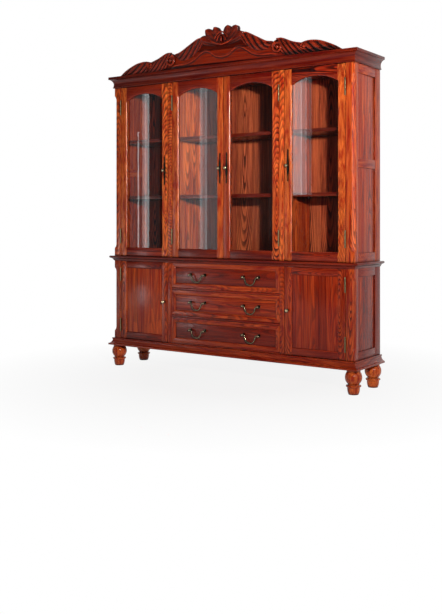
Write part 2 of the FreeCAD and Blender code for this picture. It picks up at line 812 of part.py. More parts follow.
def arched_rail(name, sight_x, z, rebate):
    """Top rail with a segmental arch cut into its lower edge, bevelled at the front."""
    blank = box(name + "_top_rail_blank", sight_x, (front_y, door_back_y), z)
    half_span = (sight_x[1] - sight_x[0]) / 2
    radius = (half_span * half_span + D.arch_rise * D.arch_rise) / (D.arch_rise * 2)
    centre = ((sight_x[0] + sight_x[1]) / 2, front_y, z[0] + D.arch_rise - radius)
    arch = rod(name + "_arch", radius, D.door_thickness, centre, "y")
    flare = doc.addObject("Part::Cone", name + "_arch_bevel")
    flare.setExpression("Radius1", (radius + D.edge_bevel).formula)
    flare.setExpression("Radius2", radius.formula)
    flare.setExpression("Height", D.edge_bevel.formula)
    flare.Placement = FreeCAD.Placement(FreeCAD.Vector(), FreeCAD.Rotation(FreeCAD.Vector(1, 0, 0), -90))
    place(flare, *centre)
    return cut(name + "_top_rail", blank, arch, flare, rebate)


def knob(name, seat, radius, reach):
    """A turned knob on a slim neck, standing out to the front from its seat."""
    neck = D.knob_neck_radius
    outline = [
        (ZERO, ZERO),
        (D.knob_base_radius, ZERO),
        (D.knob_base_radius, -D.knob_base_height),
        (neck, -D.knob_base_height),
        (neck, -D.knob_neck_height, radius - neck, 1),
        (neck, -reach),
        (ZERO, -reach),
    ]
    return turned(name, "XY_Plane", outline, seat)


def door_pull(name, x, z):
    """Upright pull plate with drawn-in ends and a round knob at its middle."""
    wide, slim = D.pull_plate_width / 2, D.pull_waist_width / 2
    end = D.pull_plate_height / 2
    middle, shoulder, tip = D.pull_middle_height / 2, D.pull_shoulder_height / 2, D.pull_tip_height / 2
    right_up = [(wide, middle), (slim, shoulder), (slim, tip)]
    outline = [(x + u, z - v) for u, v in right_up[::-1]] + [(x + u, z + v) for u, v in right_up]
    outline[-1] += (D.pull_tip_swell, -1)
    outline.append((x, z + end, D.pull_tip_swell, -1))
    outline += [(x - u, z + v) for u, v in right_up[::-1]] + [(x - u, z - v) for u, v in right_up]
    outline[-1] += (D.pull_tip_swell, -1)
    outline.append((x, z - end, D.pull_tip_swell, -1))
    face_y = front_y - D.pull_plate_thickness
    plate = pad(name + "_plate", "XZ_Plane", outline, face_y, front_y)
    return [plate, knob(name + "_knob", (x, face_y, z), D.pull_knob_radius, D.pull_knob_reach)]


def make_glass_doors():
    """Four doors in the hutch; the outer two hang on the posts, the inner two on the mullions."""
    z = (hutch_z + D.door_gap, cornice_z - D.door_gap)
    gap, half_gap = D.door_gap, D.door_gap / 2
    doors = {
        1: ((-post_x + gap, -mullion_outer_x - gap), -1),
        2: ((-mullion_x + gap, -half_gap), -1),
        3: ((half_gap, mullion_x - gap), 1),
        4: ((mullion_outer_x + gap, post_x - gap), 1),
    }
    fixed, pins = [], []
    for number, (x, hinge_side) in doors.items():
        name = f"glass_door_{number}"
        pieces, pane = glass_door_frame(name, x, z)
        node(name + "_frame", *pieces)
        node(name + "_pane", pane)
        axis_x = x[1] + half_gap if hinge_side > 0 else x[0] - half_gap
        leaves = hinge_pair(name + "_hinge", axis_x, -hinge_side, *z,
                            D.hutch_hinge_inset, D.hutch_hinge_length)
        fixed += leaves[0]
        pins += leaves[2]
        stile_middle = D.door_stile / 2
        pull_x = x[0] + stile_middle if hinge_side > 0 else x[1] - stile_middle
        node(name + "_hardware", *leaves[1], *door_pull(name + "_pull", pull_x, hutch_z + D.pull_rise))
    return fixed, pins


def panel_door(name, x, z):
    """Stiles, rails and the sunk panel of a lower door."""
    sight_x = (x[0] + D.door_stile, x[1] - D.door_stile)
    sight_z = (z[0] + D.lower_door_rail, z[1] - D.lower_door_rail)
    panel_y = (front_y + D.door_panel_recess, front_y + D.door_panel_recess + D.door_panel_thickness)

    def field(label, margin):
        return box(label, (sight_x[0] - margin, sight_x[1] + margin), panel_y,
                   (sight_z[0] - margin, sight_z[1] + margin))

    groove = field(name + "_groove", D.groove_depth)
    bevel = sight_bevel(name + "_bevel", sight_x, sight_z, False)
    blanks = {
        "left_stile": ((x[0], sight_x[0]), z),
        "right_stile": ((sight_x[1], x[1]), z),
        "bottom_rail": (sight_x, (z[0], sight_z[0])),
        "top_rail": (sight_x, (sight_z[1], z[1])),
    }
    pieces = []
    for text, (across, levels) in blanks.items():
        blank = box(f"{name}_{text}_blank", across, (front_y, door_back_y), levels)
        pieces.append(cut(f"{name}_{text}", blank, groove, bevel))
    return pieces, field(name + "_field", D.groove_depth - D.groove_clearance)


def make_lower_doors():
    """Two panelled doors that hang on the base posts and close against the base mullions."""
    z = (base_z + D.door_gap, waist_z - D.door_gap)
    fixed, pins = [], []
    for text, side in (("left", -1), ("right", 1)):
        name = f"lower_door_{text}"
        x = span(side, base_mullion_outer_x + D.door_gap, post_x - D.door_gap)
        pieces, panel = panel_door(name, x, z)
        node(name + "_frame", *pieces)
        node(name + "_panel", panel)
        axis_x = (post_x - D.door_gap / 2) * side
        leaves = hinge_pair(name + "_hinge", axis_x, -side, *z,
                            D.base_hinge_inset, D.base_hinge_length)
        fixed += leaves[0]
        pins += leaves[2]
        knob_x = (base_mullion_outer_x + D.door_gap + D.door_stile / 2) * side
        node(name + "_hardware", *leaves[1],
             knob(name + "_knob", (knob_x, front_y, base_z + D.lower_knob_rise),
                  D.lower_knob_radius, D.lower_knob_reach))
    return fixed, pins


def make_catches():
    """Magnetic catches behind the free stile of each door."""
    hutch_top, base_top = cornice_z - D.hutch_board_thickness, waist_z
    inset = D.door_stile / 2
    spots = {
        "hutch_outer": (mullion_outer_x + D.door_gap + inset, hutch_top),
        "hutch_inner": (inset, hutch_top),
        "base": (base_mullion_outer_x + D.door_gap + inset, base_top),
    }
    catches = []
    for name, (x, top) in spots.items():
        for text, side in (("left", -1), ("right", 1)):
            half = D.catch_width / 2
            catches.append(box(f"catch_{name}_{text}", (x * side - half, x * side + half),
                               (board_y, board_y + D.catch_depth), (top - D.catch_height, top)))
    node("door_catches", *catches)


# Drawers

def drawer_front(name, x, z):
    """Field board with four mitred frame strips on its face."""
    field_y = front_y + D.drawer_frame_thickness
    wide = D.drawer_frame_width
    field_x, field_z = (x[0] + wide, x[1] - wide), (z[0] + wide, z[1] - wide)
    pieces = [box(name + "_field", x, (field_y, door_back_y), z)]
    outer = [(x[0], z[0]), (x[1], z[0]), (x[1], z[1]), (x[0], z[1])]
    inner = [(field_x[0], field_z[0]), (field_x[1], field_z[0]), (field_x[1], field_z[1]),
             (field_x[0], field_z[1])]
    bevel = sight_bevel(name + "_bevel", field_x, field_z, False)
    for index, text in enumerate(("bottom", "right", "top", "left")):
        after = (index + 1) % len(outer)
        strip = pad(f"{name}_{text}_strip_blank", "XZ_Plane",
                    [outer[index], outer[after], inner[after], inner[index]], front_y, field_y)
        pieces.append(cut(f"{name}_{text}_strip", strip, bevel))
    return pieces, field_y


def drawer_box(name, half_x, z_low):
    """Two sides, a back and a bottom behind the drawer front."""
    wall = D.drawer_side_thickness
    inner = half_x - wall
    depth = (door_back_y, door_back_y + D.drawer_length)
    z_high = z_low + D.drawer_side_height
    floor_z = z_low + D.drawer_bottom_lift
    floor_top = floor_z + D.drawer_bottom_thickness
    return [
        box(name + "_left_side", (-half_x, -inner), depth, (z_low, z_high)),
        box(name + "_right_side", (inner, half_x), depth, (z_low, z_high)),
        box(name + "_bottom", (-inner, inner), depth, (floor_z, floor_top)),
        box(name + "_back", (-inner, inner), (depth[1] - wall, depth[1]), (floor_top, z_high)),
    ]


def bail_post(name, x, face_y, z):
    """Rosette, stem and drilled ball head that one end of a bail turns in."""
    axis_y = face_y - D.bail_post_reach
    rosette = rod(name + "_rosette", D.rosette_radius, D.rosette_thickness,
                  (x, face_y - D.rosette_thickness, z), "y")
    stem = rod(name + "_stem", D.bail_stem_radius, D.bail_post_reach, (x, axis_y, z), "y")
    head = ball(name + "_head", D.bail_head_radius, (x, axis_y, z))
    eye = rod(name + "_eye", D.bail_wire_radius + D.pin_clearance, D.bail_head_radius * 2,
              (x - D.bail_head_radius, axis_y, z), "x")
    return cut(name, fuse(name + "_blank", rosette, stem, head), eye)


def elbow(name, bend, wire, centre, start):
    """Part of a ring of wire in the plane of the front, swept upright from a start angle."""
    piece = doc.addObject("Part::Torus", name)
    piece.setExpression("Radius1", bend.formula)
    piece.setExpression("Radius2", wire.formula)
    piece.Angle3 = 90 - BAIL_LEAN_DEGREES
    upright = FreeCAD.Rotation(FreeCAD.Vector(1, 0, 0), 90)
    turn = FreeCAD.Rotation(FreeCAD.Vector(0, 0, 1), start)
    piece.Placement = FreeCAD.Placement(FreeCAD.Vector(), upright.multiply(turn))
    place(piece, *centre)
    return piece


def bail(name, x, axis_y, z):
    """A wire bail: pins into the posts, necks that curve down, leaning arms and a level grip."""
    wire, bend, corner = D.bail_wire_radius, D.bail_bend, D.bail_corner
    lean = math.radians(BAIL_LEAN_DEGREES)
    half = D.bail_post_spacing / 2
    neck_x = half - D.bail_inset
    bends = bend + corner
    arm_drop = D.bail_drop - bends * (1 - math.sin(lean))
    grip_x = neck_x - bends * math.cos(lean) - arm_drop * math.tan(lean)
    corner_z = z - D.bail_drop + corner
    arm_x, arm_z = grip_x + corner * math.cos(lean), corner_z - corner * math.sin(lean)
    pin_length = D.bail_inset + D.bail_head_radius / 2
    solids = [rod(name + "_grip", wire, grip_x * 2, (x - grip_x, axis_y, z - D.bail_drop), "x")]
    for text, side, neck_start, corner_start in (
            ("left", -1, BAIL_LEAN_DEGREES, 180 + BAIL_LEAN_DEGREES), ("right", 1, 90, 270)):
        pin_x = x + neck_x if side > 0 else x - neck_x - pin_length
        solids.append(rod(f"{name}_{text}_pin", wire, pin_length, (pin_x, axis_y, z), "x"))
        neck_centre = (x + neck_x * side, axis_y, z - bend)
        corner_centre = (x + grip_x * side, axis_y, corner_z)
        solids.append(elbow(f"{name}_{text}_neck", bend, wire, neck_centre, neck_start))
        solids.append(elbow(f"{name}_{text}_corner", corner, wire, corner_centre, corner_start))
        arm = rod(f"{name}_{text}_arm", wire, arm_drop / math.cos(lean), (x + arm_x * side, axis_y, arm_z))
        arm.Placement = FreeCAD.Placement(arm.Placement.Base, FreeCAD.Rotation(
            FreeCAD.Vector(0, 1, 0), BAIL_LEAN_DEGREES * side))
        solids.append(arm)
    return fuse(name, *solids)


def make_drawers():
    """Three equal drawers, their pulls, and the rails and runners that carry them."""
    opening = drawer_pitch - D.drawer_rail
    half_front = base_mullion_x - D.drawer_gap
    half_box = base_mullion_x - D.drawer_side_clearance
    wall_x = base_mullion_x + D.base_mullion_width / 2 - D.partition_thickness / 2
    rails = [box("drawer_rail_bottom", (-base_mullion_x, base_mullion_x), (front_y, board_y),
                 (base_z, base_z + D.bottom_rail))]
    runners = []
    for index, place_name in enumerate(("bottom", "middle", "top")):
        name = f"drawer_{place_name}"
        low = base_z + D.bottom_rail + drawer_pitch * index
        high = low + opening
        if place_name != "top":
            rails.append(box(f"drawer_rail_over_{place_name}", (-base_mullion_x, base_mullion_x),
                             (front_y, board_y), (high, high + D.drawer_rail)))
        front, field_y = drawer_front(name, (-half_front, half_front),
                                      (low + D.drawer_gap, high - D.drawer_gap))
        node(name + "_front", *front)
        box_z = low - D.bottom_rail + D.base_bottom_thickness + D.runner_height
        node(name + "_box", *drawer_box(name, half_box, box_z))
        runners += [runner(f"{name}_runner_{text}", side, wall_x, half_box, box_z)
                    for text, side in (("left", -1), ("right", 1))]
        make_pulls(name, (low + high) / 2 + D.bail_post_rise, field_y)
    node("drawer_rails", *rails)
    node("drawer_runners", *runners)


def runner(name, side, wall_x, half_box, box_z):
    """Ledge under a drawer's side with an upstand that guides it."""
    low, top = box_z - D.runner_height, box_z - D.slide_clearance
    guide_x = half_box + D.guide_clearance
    ledge_x = wall_x - D.runner_width
    guide_top = top + D.guide_height
    outline = [(ledge_x, low), (wall_x, low), (wall_x, guide_top), (guide_x, guide_top),
               (guide_x, top), (ledge_x, top)]
    return pad(name, "XZ_Plane", [(x * side, z) for x, z in outline], board_y, back_panel_y)


def make_pulls(name, z, face_y):
    """Two bail pulls on one drawer front."""
    posts = []
    for text, side in (("left", -1), ("right", 1)):
        x = D.bail_offset * side
        for end, toward in (("left", -1), ("right", 1)):
            post_at = x + D.bail_post_spacing / 2 * toward
            posts.append(bail_post(f"{name}_{text}_post_{end}", post_at, face_y, z))
        node(f"{name}_bail_{text}", bail(f"{name}_{text}_bail", x, face_y - D.bail_post_reach, z))
    node(name + "_pull_posts", *posts)


# Carved crest

def leaf(name, side, start, finish, rise, y):
    """One raised leaf: a swelling top edge and a full belly below it, between two points."""
    outline = [
        (start[0] * side, start[1], rise, -side),
        (finish[0] * side, finish[1]),
        (finish[0] * side, finish[1] - D.leaf_end, D.leaf_belly, -side),
        (start[0] * side, start[1] - D.leaf_tip),
    ]
    return pad(name, "XZ_Plane", outline, *y)


def crest_outline():
    """Silhouette of the crest board: three swelling leaves a side up to the crown."""
    right = [
        (D.crest_tip_x, crest_z),
        (D.crest_tip_x, crest_z + D.crest_tip_z, D.outer_leaf_rise, -1),
        (D.outer_valley_x, crest_z + D.outer_valley_z, D.scroll_rise, -1),
        (D.inner_valley_x, crest_z + D.inner_valley_z),
        (D.shoulder_foot_x, crest_z + D.shoulder_foot_z, D.shoulder_rise, -1),
        (D.shoulder_x, crest_z + D.shoulder_z),
        (D.crown_x, crest_z + D.crown_z),
    ]
    left = []
    for index in range(len(right) - 1, -1, -1):
        before = right[index - 1] if index else right[0]
        arc = before[2:] if index else ()
        left.append((-right[index][0], right[index][1]) + arc)
    return right + left


def shell_rib(name, side, index, front):
    """One swelling rib of the shell, from the root out to its rounded lobe."""
    step = (SHELL_SPREAD_DEGREES - SHELL_FIRST_DEGREES) / (SHELL_RIBS_EACH_SIDE - 1)
    lean = math.radians(SHELL_FIRST_DEGREES + step * index) * side
    share = index / (SHELL_RIBS_EACH_SIDE - 1)
    reach = D.shell_inner_reach * (1 - share) + D.shell_outer_reach * share
    length = reach - D.shell_tip_radius
    root_z = crest_z + D.shell_root_z
    rib = doc.addObject("Part::Cone", name + "_taper")
    rib.setExpression("Radius1", D.shell_root_radius.formula)
    rib.setExpression("Radius2", D.shell_tip_radius.formula)
    rib.setExpression("Height", length.formula)
    rib.Placement = FreeCAD.Placement(FreeCAD.Vector(), FreeCAD.Rotation(FreeCAD.Vector(0, 1, 0),
                                                                         math.degrees(lean)))
    place(rib, 0, front, root_z)
    lobe = ball(name + "_lobe", D.shell_tip_radius,
                (length * math.sin(lean), front, root_z + length * math.cos(lean)))
    return [rib, lobe]


def make_crest():
    """Crest board on the cornice, with raised leaves, scroll eyes and a ribbed shell."""
    front = front_y - D.moulding_projection + D.crest_setback
    node("crest_board", pad("crest_back", "XZ_Plane", crest_outline(), front, front + D.crest_thickness))
    behind = box("crest_seat", (-half_width, half_width), (front, front + D.crest_thickness),
                 (crest_z, crest_z + D.shell_root_z + D.shell_outer_reach * 2))
    node("crest_leaves", *[solid for side in (-1, 1) for solid in crest_leaves(side, front, behind)])
    ribs = []
    for text, side in (("left", -1), ("right", 1)):
        for index in range(SHELL_RIBS_EACH_SIDE):
            ribs += shell_rib(f"shell_{text}_{index + 1}", side, index, front)
    node("crest_shell", cut("shell", fuse("shell_ribs", *ribs), behind))


def crest_leaves(side, front, behind):
    """Three leaves of one side; the middle one ends in a round scroll eye."""
    text = "right" if side > 0 else "left"
    relief = (front - D.crest_relief, front)
    tip = (D.crest_tip_x, crest_z + D.crest_tip_z)
    outer_valley = (D.outer_valley_x, crest_z + D.outer_valley_z)
    inner_valley = (D.inner_valley_x, crest_z + D.inner_valley_z)
    foot = (D.shoulder_foot_x, crest_z + D.shoulder_foot_z)
    shoulder = (D.shoulder_x, crest_z + D.shoulder_z)
    outer = leaf(f"crest_outer_leaf_{text}", side, tip, outer_valley, D.outer_leaf_rise, relief)
    middle = leaf(f"crest_middle_leaf_{text}", side, outer_valley, inner_valley, D.scroll_rise, relief)
    upper = leaf(f"crest_upper_leaf_{text}", side, foot, shoulder, D.shoulder_rise, relief)
    eye = ball(f"scroll_eye_{text}", D.scroll_eye_radius,
               (D.scroll_eye_x * side, front, crest_z + D.scroll_eye_z))
    scroll = cut(f"crest_scroll_{text}", fuse(f"crest_scroll_{text}_blank", middle, eye), behind)
    return outer, scroll, upper


def check_and_export():
    """Writes every sub-part once all of them have been made without a fault."""
    doc.recompute()
    for item in doc.Objects:
        if "Invalid" in item.State or "Error" in item.State:
            raise RuntimeError(f"{item.Label} failed: {item.State}")
    for group in nodes:
        if group.Shape.isNull() or not group.Shape.isValid() or not group.Shape.Solids:
            raise RuntimeError(f"{group.Label} has no valid solid")
    os.makedirs("parts", exist_ok=True)
    for group in nodes:
        group.Shape.exportStep(f"parts/{group.Label}.step")


make_feet()
make_plinth()
cupboard_shelves, cupboard_pins = make_base()
make_waist()
book_shelves, book_pins = make_hutch()
node("shelves", *cupboard_shelves, *book_shelves)
node("shelf_pins", *cupboard_pins, *book_pins)
make_cornice()
hutch_leaves, hutch_pins = make_glass_doors()
base_leaves, base_pins = make_lower_doors()
node("hinge_fixed_leaves", *hutch_leaves, *base_leaves)
node("hinge_pins", *hutch_pins, *base_pins)
make_catches()
make_drawers()
make_crest()
check_and_export()
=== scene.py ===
import json
import math
import random

import bmesh
import bpy
import numpy as np
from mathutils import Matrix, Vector


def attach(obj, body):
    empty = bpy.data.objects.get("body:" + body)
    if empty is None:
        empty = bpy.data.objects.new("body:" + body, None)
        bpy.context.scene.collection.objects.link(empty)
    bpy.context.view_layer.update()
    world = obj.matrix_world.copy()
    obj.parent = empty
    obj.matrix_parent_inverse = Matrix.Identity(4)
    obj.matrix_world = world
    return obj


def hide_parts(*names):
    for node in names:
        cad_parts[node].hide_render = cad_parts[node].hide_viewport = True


# A tall bookcase of red-brown stained ash with glass doors, drawers and a carved crest.
# Metres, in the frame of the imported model: X to the right, Y to the back, Z up.

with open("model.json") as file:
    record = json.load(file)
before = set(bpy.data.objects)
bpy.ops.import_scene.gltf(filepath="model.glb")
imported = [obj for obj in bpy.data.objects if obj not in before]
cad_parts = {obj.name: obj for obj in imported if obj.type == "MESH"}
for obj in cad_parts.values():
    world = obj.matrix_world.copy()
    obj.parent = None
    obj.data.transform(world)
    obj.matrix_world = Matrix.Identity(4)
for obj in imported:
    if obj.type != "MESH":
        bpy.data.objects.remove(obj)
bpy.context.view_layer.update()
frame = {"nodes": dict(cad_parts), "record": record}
NODES = frame["nodes"]
BODIES = frame["record"]["behaviour"]["bodies"]
BODY_OF = {node: body for body, members in BODIES.items() for node in members}
SLOT_OF = {entry["node"]: entry["material_slot"] for entry in frame["record"]["subparts"]}
SEED = 7
chance = random.Random(SEED)


# Shader helpers

def add(tree, kind, settings=None, **inputs):
    """Adds a node, sets its properties, and links or sets its inputs.

    An input is named with underscores for spaces, or numbered as i0, i1 and so on.
    """
    node = tree.nodes.new(kind)
    for name, value in (settings or {}).items():
        setattr(node, name, value)
    for name, value in inputs.items():
        socket = node.inputs[int(name[1:]) if name[1:].isdigit() else name.replace("_", " ")]
        if isinstance(value, bpy.types.NodeSocket):
            tree.links.new(value, socket)
        else:
            socket.default_value = value
    return node


def maths(tree, operation, first, second=0.0, third=0.0):
    """One arithmetic step on numbers or sockets."""
    return add(tree, "ShaderNodeMath", {"operation": operation}, i0=first, i1=second, i2=third).outputs[0]


def vectors(tree, operation, first, second=(0, 0, 0)):
    """One step of vector arithmetic, as a node."""
    return add(tree, "ShaderNodeVectorMath", {"operation": operation}, i0=first, i1=second)


def noise(tree, vector, stretch, detail=2.0, roughness=0.5):
    """Noise from 0 to 1 over coordinates stretched by three scales."""
    place = vectors(tree, "MULTIPLY", vector, stretch).outputs[0]
    made = add(tree, "ShaderNodeTexNoise", Vector=place, Scale=1.0, Detail=detail, Roughness=roughness)
    return made.outputs[0]


def ramp(tree, factor, stops):
    """A grey ramp through (position, level) stops."""
    node = add(tree, "ShaderNodeValToRGB", Fac=factor)
    elements = node.color_ramp.elements
    while len(elements) < len(stops):
        elements.new(0.5)
    for element, (position, level) in zip(elements, stops):
        element.position = position
        element.color = grey(level)
    return node.outputs[0]


def blend(tree, factor, first, second, way="MIX"):
    """A colour between two, or the first one multiplied by the second."""
    settings = {"data_type": "RGBA", "blend_type": way}
    # The node's colours are its inputs 6 and 7 and its output 2; the others serve numbers and vectors
    return add(tree, "ShaderNodeMix", settings, Factor=factor, i6=first, i7=second).outputs[2]


def attribute(tree, name, output="Fac"):
    """A value that the mesh carries at its points."""
    return add(tree, "ShaderNodeAttribute", {"attribute_name": name}).outputs[output]


def material(name):
    """An empty node material and its output."""
    made = bpy.data.materials.new(name)
    made.use_nodes = True
    made.node_tree.nodes.clear()
    return made, made.node_tree, made.node_tree.nodes.new("ShaderNodeOutputMaterial")


def grey(level):
    """A linear grey."""
    return (level, level, level, 1)


def colour(red, green, blue):
    """A linear colour from display levels of 0 to 255."""
    levels = [value / 255 for value in (red, green, blue)]
    return tuple(v / 12.92 if v <= 0.04045 else ((v + 0.055) / 1.055) ** 2.4 for v in levels) + (1.0,)


# Wood
# Ramps are (position, level) stops; stretches scale the grain across, through and along a board.

# Glued staves of a wide panel
STAVE_WIDTH = 0.082
STAVE_SPREAD = 0.3
STAVE_SHIFT = 3.7
STAVE_SEED = 97
GLUE_LINE = ((0.0, 0.7), (0.03, 0.0))
SWAY = 0.05
SWAY_STRETCH = (1, 1, 1.6)

# Rings, pores and streaks
BEND = 0.035
BEND_STRETCH = (4, 4, 1.1)
WOBBLE = 0.006
WOBBLE_STRETCH = (40, 40, 9)
EARLY_WOOD = ((0.0, 0.45), (0.06, 1.0), (0.34, 0.85), (0.55, 0.14), (1.0, 0.0))
PATCH_STRETCH = (12, 12, 2.2)
PATCHES = ((0.3, 0.5), (0.58, 1.0))
PORE_STRETCH = (800, 800, 26)
PORES = ((0.5, 0.0), (0.62, 1.0))
PORE_LEAST = 0.25
PORE_DARKNESS = 0.5
STREAK_STRETCH = (55, 55, 1.5)
STREAKS = ((0.36, 0.0), (0.62, 1.0))

# Rubbed arrises with a painted highlight, painted shade in inner corners and carved hollows, and the depth of
# the stain
RUB_AND_HIGHLIGHT_PATCHES = ((0.35, 0.25), (0.62, 0.85))
WEAR_AND_HIGHLIGHT_LIFT = 0.3
CORNER_SHADE = ((0.3, 0.85), (0.85, 0.0))
CORNER_SHADE_REACH = 0.021
CORNER_SHADE_SAMPLES = 6
SHADE_AND_GLUE_LEVEL = 0.25
DEEP_STAIN = (1.0, 0.2, 0.45, 1)
DEEPEST = 0.75
TONE_SLOPE = 0.95
TONE_LEAST = 0.2

# Polish and relief
SHINE = 0.18
PORE_DULL = 0.2
PATCH_DULL = 0.12
HOLLOW_DULL = 0.5
PORE_SINK = -0.7
RING_SINK = -0.3
GRAIN_BUMP = 0.3
GRAIN_BUMP_DEPTH = 0.0006


def staved(tree, grain, staves, seed):
    """Grain coordinates of a wide panel's glued staves, a number drawn for each stave, and the glue lines."""
    place = add(tree, "ShaderNodeSeparateXYZ", Vector=grain).outputs
    count = maths(tree, "DIVIDE", place["X"], STAVE_WIDTH)
    index = maths(tree, "MULTIPLY", maths(tree, "FLOOR", count), staves)
    drawn = add(tree, "ShaderNodeTexWhiteNoise", {"noise_dimensions": "1D"},
                W=maths(tree, "ADD", index, seed)).outputs["Value"]
    drawn_stave = maths(tree, "MULTIPLY", drawn, staves)
    moved = maths(tree, "MULTIPLY", maths(tree, "ADD", index, drawn_stave), STAVE_WIDTH)
    beside = maths(tree, "SUBTRACT", place["X"], moved)
    along = maths(tree, "MULTIPLY_ADD", drawn_stave, STAVE_SHIFT, place["Z"])
    deeper = maths(tree, "MULTIPLY_ADD", drawn_stave, STAVE_WIDTH, place["Y"])
    sway = noise(tree, add(tree, "ShaderNodeCombineXYZ", Z=along).outputs[0], SWAY_STRETCH, detail=1)
    bowed = maths(tree, "MULTIPLY_ADD", sway, SWAY, deeper)
    spot = add(tree, "ShaderNodeCombineXYZ", X=beside, Y=bowed, Z=along).outputs[0]
    seam = maths(tree, "MULTIPLY", ramp(tree, maths(tree, "FRACT", count), GLUE_LINE), staves)
    return spot, drawn, seam


def rings(tree, grain, ring_width):
    """The porous early wood of each ring, and the noises that patch it and make it wobble."""
    across = vectors(tree, "MULTIPLY", grain, (1, 1, 0)).outputs[0]
    radius = vectors(tree, "LENGTH", across).outputs["Value"]
    wobble = noise(tree, grain, WOBBLE_STRETCH)
    bend = noise(tree, grain, BEND_STRETCH, detail=1.5)
    radius = maths(tree, "MULTIPLY_ADD", bend, BEND, radius)
    radius = maths(tree, "MULTIPLY_ADD", wobble, WOBBLE, radius)
    phase = maths(tree, "FRACT", maths(tree, "DIVIDE", radius, ring_width))
    patch = noise(tree, grain, PATCH_STRETCH, detail=1)
    porous = maths(tree, "MULTIPLY", ramp(tree, phase, EARLY_WOOD), ramp(tree, patch, PATCHES))
    return porous, patch, wobble


def pore_marks(tree, grain, porous):
    """Fine dark dashes along the grain, most of them in the early wood."""
    marks = ramp(tree, noise(tree, grain, PORE_STRETCH), PORES)
    share = maths(tree, "MULTIPLY_ADD", porous, 1 - PORE_LEAST, PORE_LEAST)
    return maths(tree, "MULTIPLY", marks, share)


def painted_shade_and_glue_lines(tree, painted_hollow_shade, seam):
    """Where the colour darkens: painted shade in carved hollows and inner corners, and the dark glue lines
    between staves.
    """
    # Ambient occlusion paints shade into inner corners
    corner = add(tree, "ShaderNodeAmbientOcclusion", {"samples": CORNER_SHADE_SAMPLES}, Distance=CORNER_SHADE_REACH)
    corner_shade = ramp(tree, corner.outputs["AO"], CORNER_SHADE)
    return maths(tree, "MAXIMUM", maths(tree, "MAXIMUM", painted_hollow_shade, seam), corner_shade)


def stained(tree, plain, shade, rubbed_and_highlit):
    """The stained colour: redder and darker where the stain is deep, lighter where it is rubbed and where a
    highlight is painted.
    """
    deepness = maths(tree, "MINIMUM", maths(tree, "SUBTRACT", 1.0, shade), DEEPEST)
    reddened = blend(tree, deepness, plain, DEEP_STAIN, "MULTIPLY")
    value = maths(tree, "MULTIPLY_ADD", shade, TONE_SLOPE, TONE_LEAST)
    lifted = maths(tree, "MULTIPLY_ADD", rubbed_and_highlit, WEAR_AND_HIGHLIGHT_LIFT, value)
    return add(tree, "ShaderNodeHueSaturation", Color=reddened, Value=lifted).outputs[0]


def wood(name, pale, middle, dark, ring_width, roughness):
    """Stained ring-porous wood whose rings, pores and streaks follow each board's own grain."""
    made, tree, out = material(name)
    finish = add(tree, "ShaderNodeSeparateXYZ", Vector=attribute(tree, "finish", "Vector"))
    tone, strength, staves = finish.outputs
    painted_hollow_shade = attribute(tree, "painted_hollow_shade")
    seed = maths(tree, "MULTIPLY", tone, STAVE_SEED)
    grain, drawn, seam = staved(tree, attribute(tree, "grain", "Vector"), staves, seed)
    porous, patch, wobble = rings(tree, grain, ring_width)
    pores = pore_marks(tree, grain, porous)
    streak = ramp(tree, noise(tree, grain, STREAK_STRETCH, detail=3, roughness=0.6), STREAKS)
    streaked = blend(tree, streak, middle, pale)
    ringed = blend(tree, maths(tree, "MULTIPLY", porous, strength), streaked, dark)
    pitted = blend(tree, maths(tree, "MULTIPLY", pores, PORE_DARKNESS), ringed, dark)
    # Rubbed wear and a painted highlight on arrises and carved high places lighten the colour
    rubbed_and_highlit = maths(tree, "MULTIPLY", attribute(tree, "wear_and_highlight"), ramp(tree, wobble, RUB_AND_HIGHLIGHT_PATCHES))
    worn_and_highlit = blend(tree, rubbed_and_highlit, pitted, pale)
    # Painted shade in carved hollows and inner corners, and the glue lines, darken the colour
    painted_shade_and_glue = blend(tree, painted_shade_and_glue_lines(tree, painted_hollow_shade, seam), worn_and_highlit, tuple(level * SHADE_AND_GLUE_LEVEL for level in dark))
    own_stave = maths(tree, "MULTIPLY", maths(tree, "SUBTRACT", drawn, 0.5), staves)
    shade = maths(tree, "MULTIPLY_ADD", own_stave, STAVE_SPREAD, tone)
    rough = maths(tree, "MULTIPLY_ADD", pores, PORE_DULL, roughness)
    rough = maths(tree, "MULTIPLY_ADD", patch, PATCH_DULL, rough)
    rough = maths(tree, "MULTIPLY_ADD", painted_hollow_shade, HOLLOW_DULL, rough)
    height = maths(tree, "MULTIPLY_ADD", pores, PORE_SINK, maths(tree, "MULTIPLY", porous, RING_SINK))
    bump = add(tree, "ShaderNodeBump", Height=height, Strength=GRAIN_BUMP, Distance=GRAIN_BUMP_DEPTH)
    shader = add(tree, "ShaderNodeBsdfPrincipled", Base_Color=stained(tree, painted_shade_and_glue, shade, rubbed_and_highlit),
                 Roughness=rough, Normal=bump.outputs[0], Specular_IOR_Level=SHINE)
    tree.links.new(shader.outputs[0], out.inputs[0])
    return made


# Metal and glass

CLOUD_STRETCH = (150, 150, 150)
CLOUD_EDGES = (0.3, 0.7)
CLOUD_LEAST = 0.3
CLOUD_GLOSS = 0.2
PIT_STRETCH = (900, 900, 900)
PITS = ((0.55, 0.0), (0.75, 0.6))
PIT_BUMP = 0.2
PIT_BUMP_DEPTH = 0.0002
RUBBED_AND_HIGHLIT = 0.75
GLASS_TINT = (0.97, 0.985, 0.975, 1)
GLASS_SHADOW = (0.94, 0.96, 0.95, 1)
GLASS_INDEX = 1.45
SMEAR_STRETCH = (3, 3, 1.2)
SMEARS = ((0.5, 0.0), (0.8, 1.0))
SMEAR_ROUGHNESS = 0.03


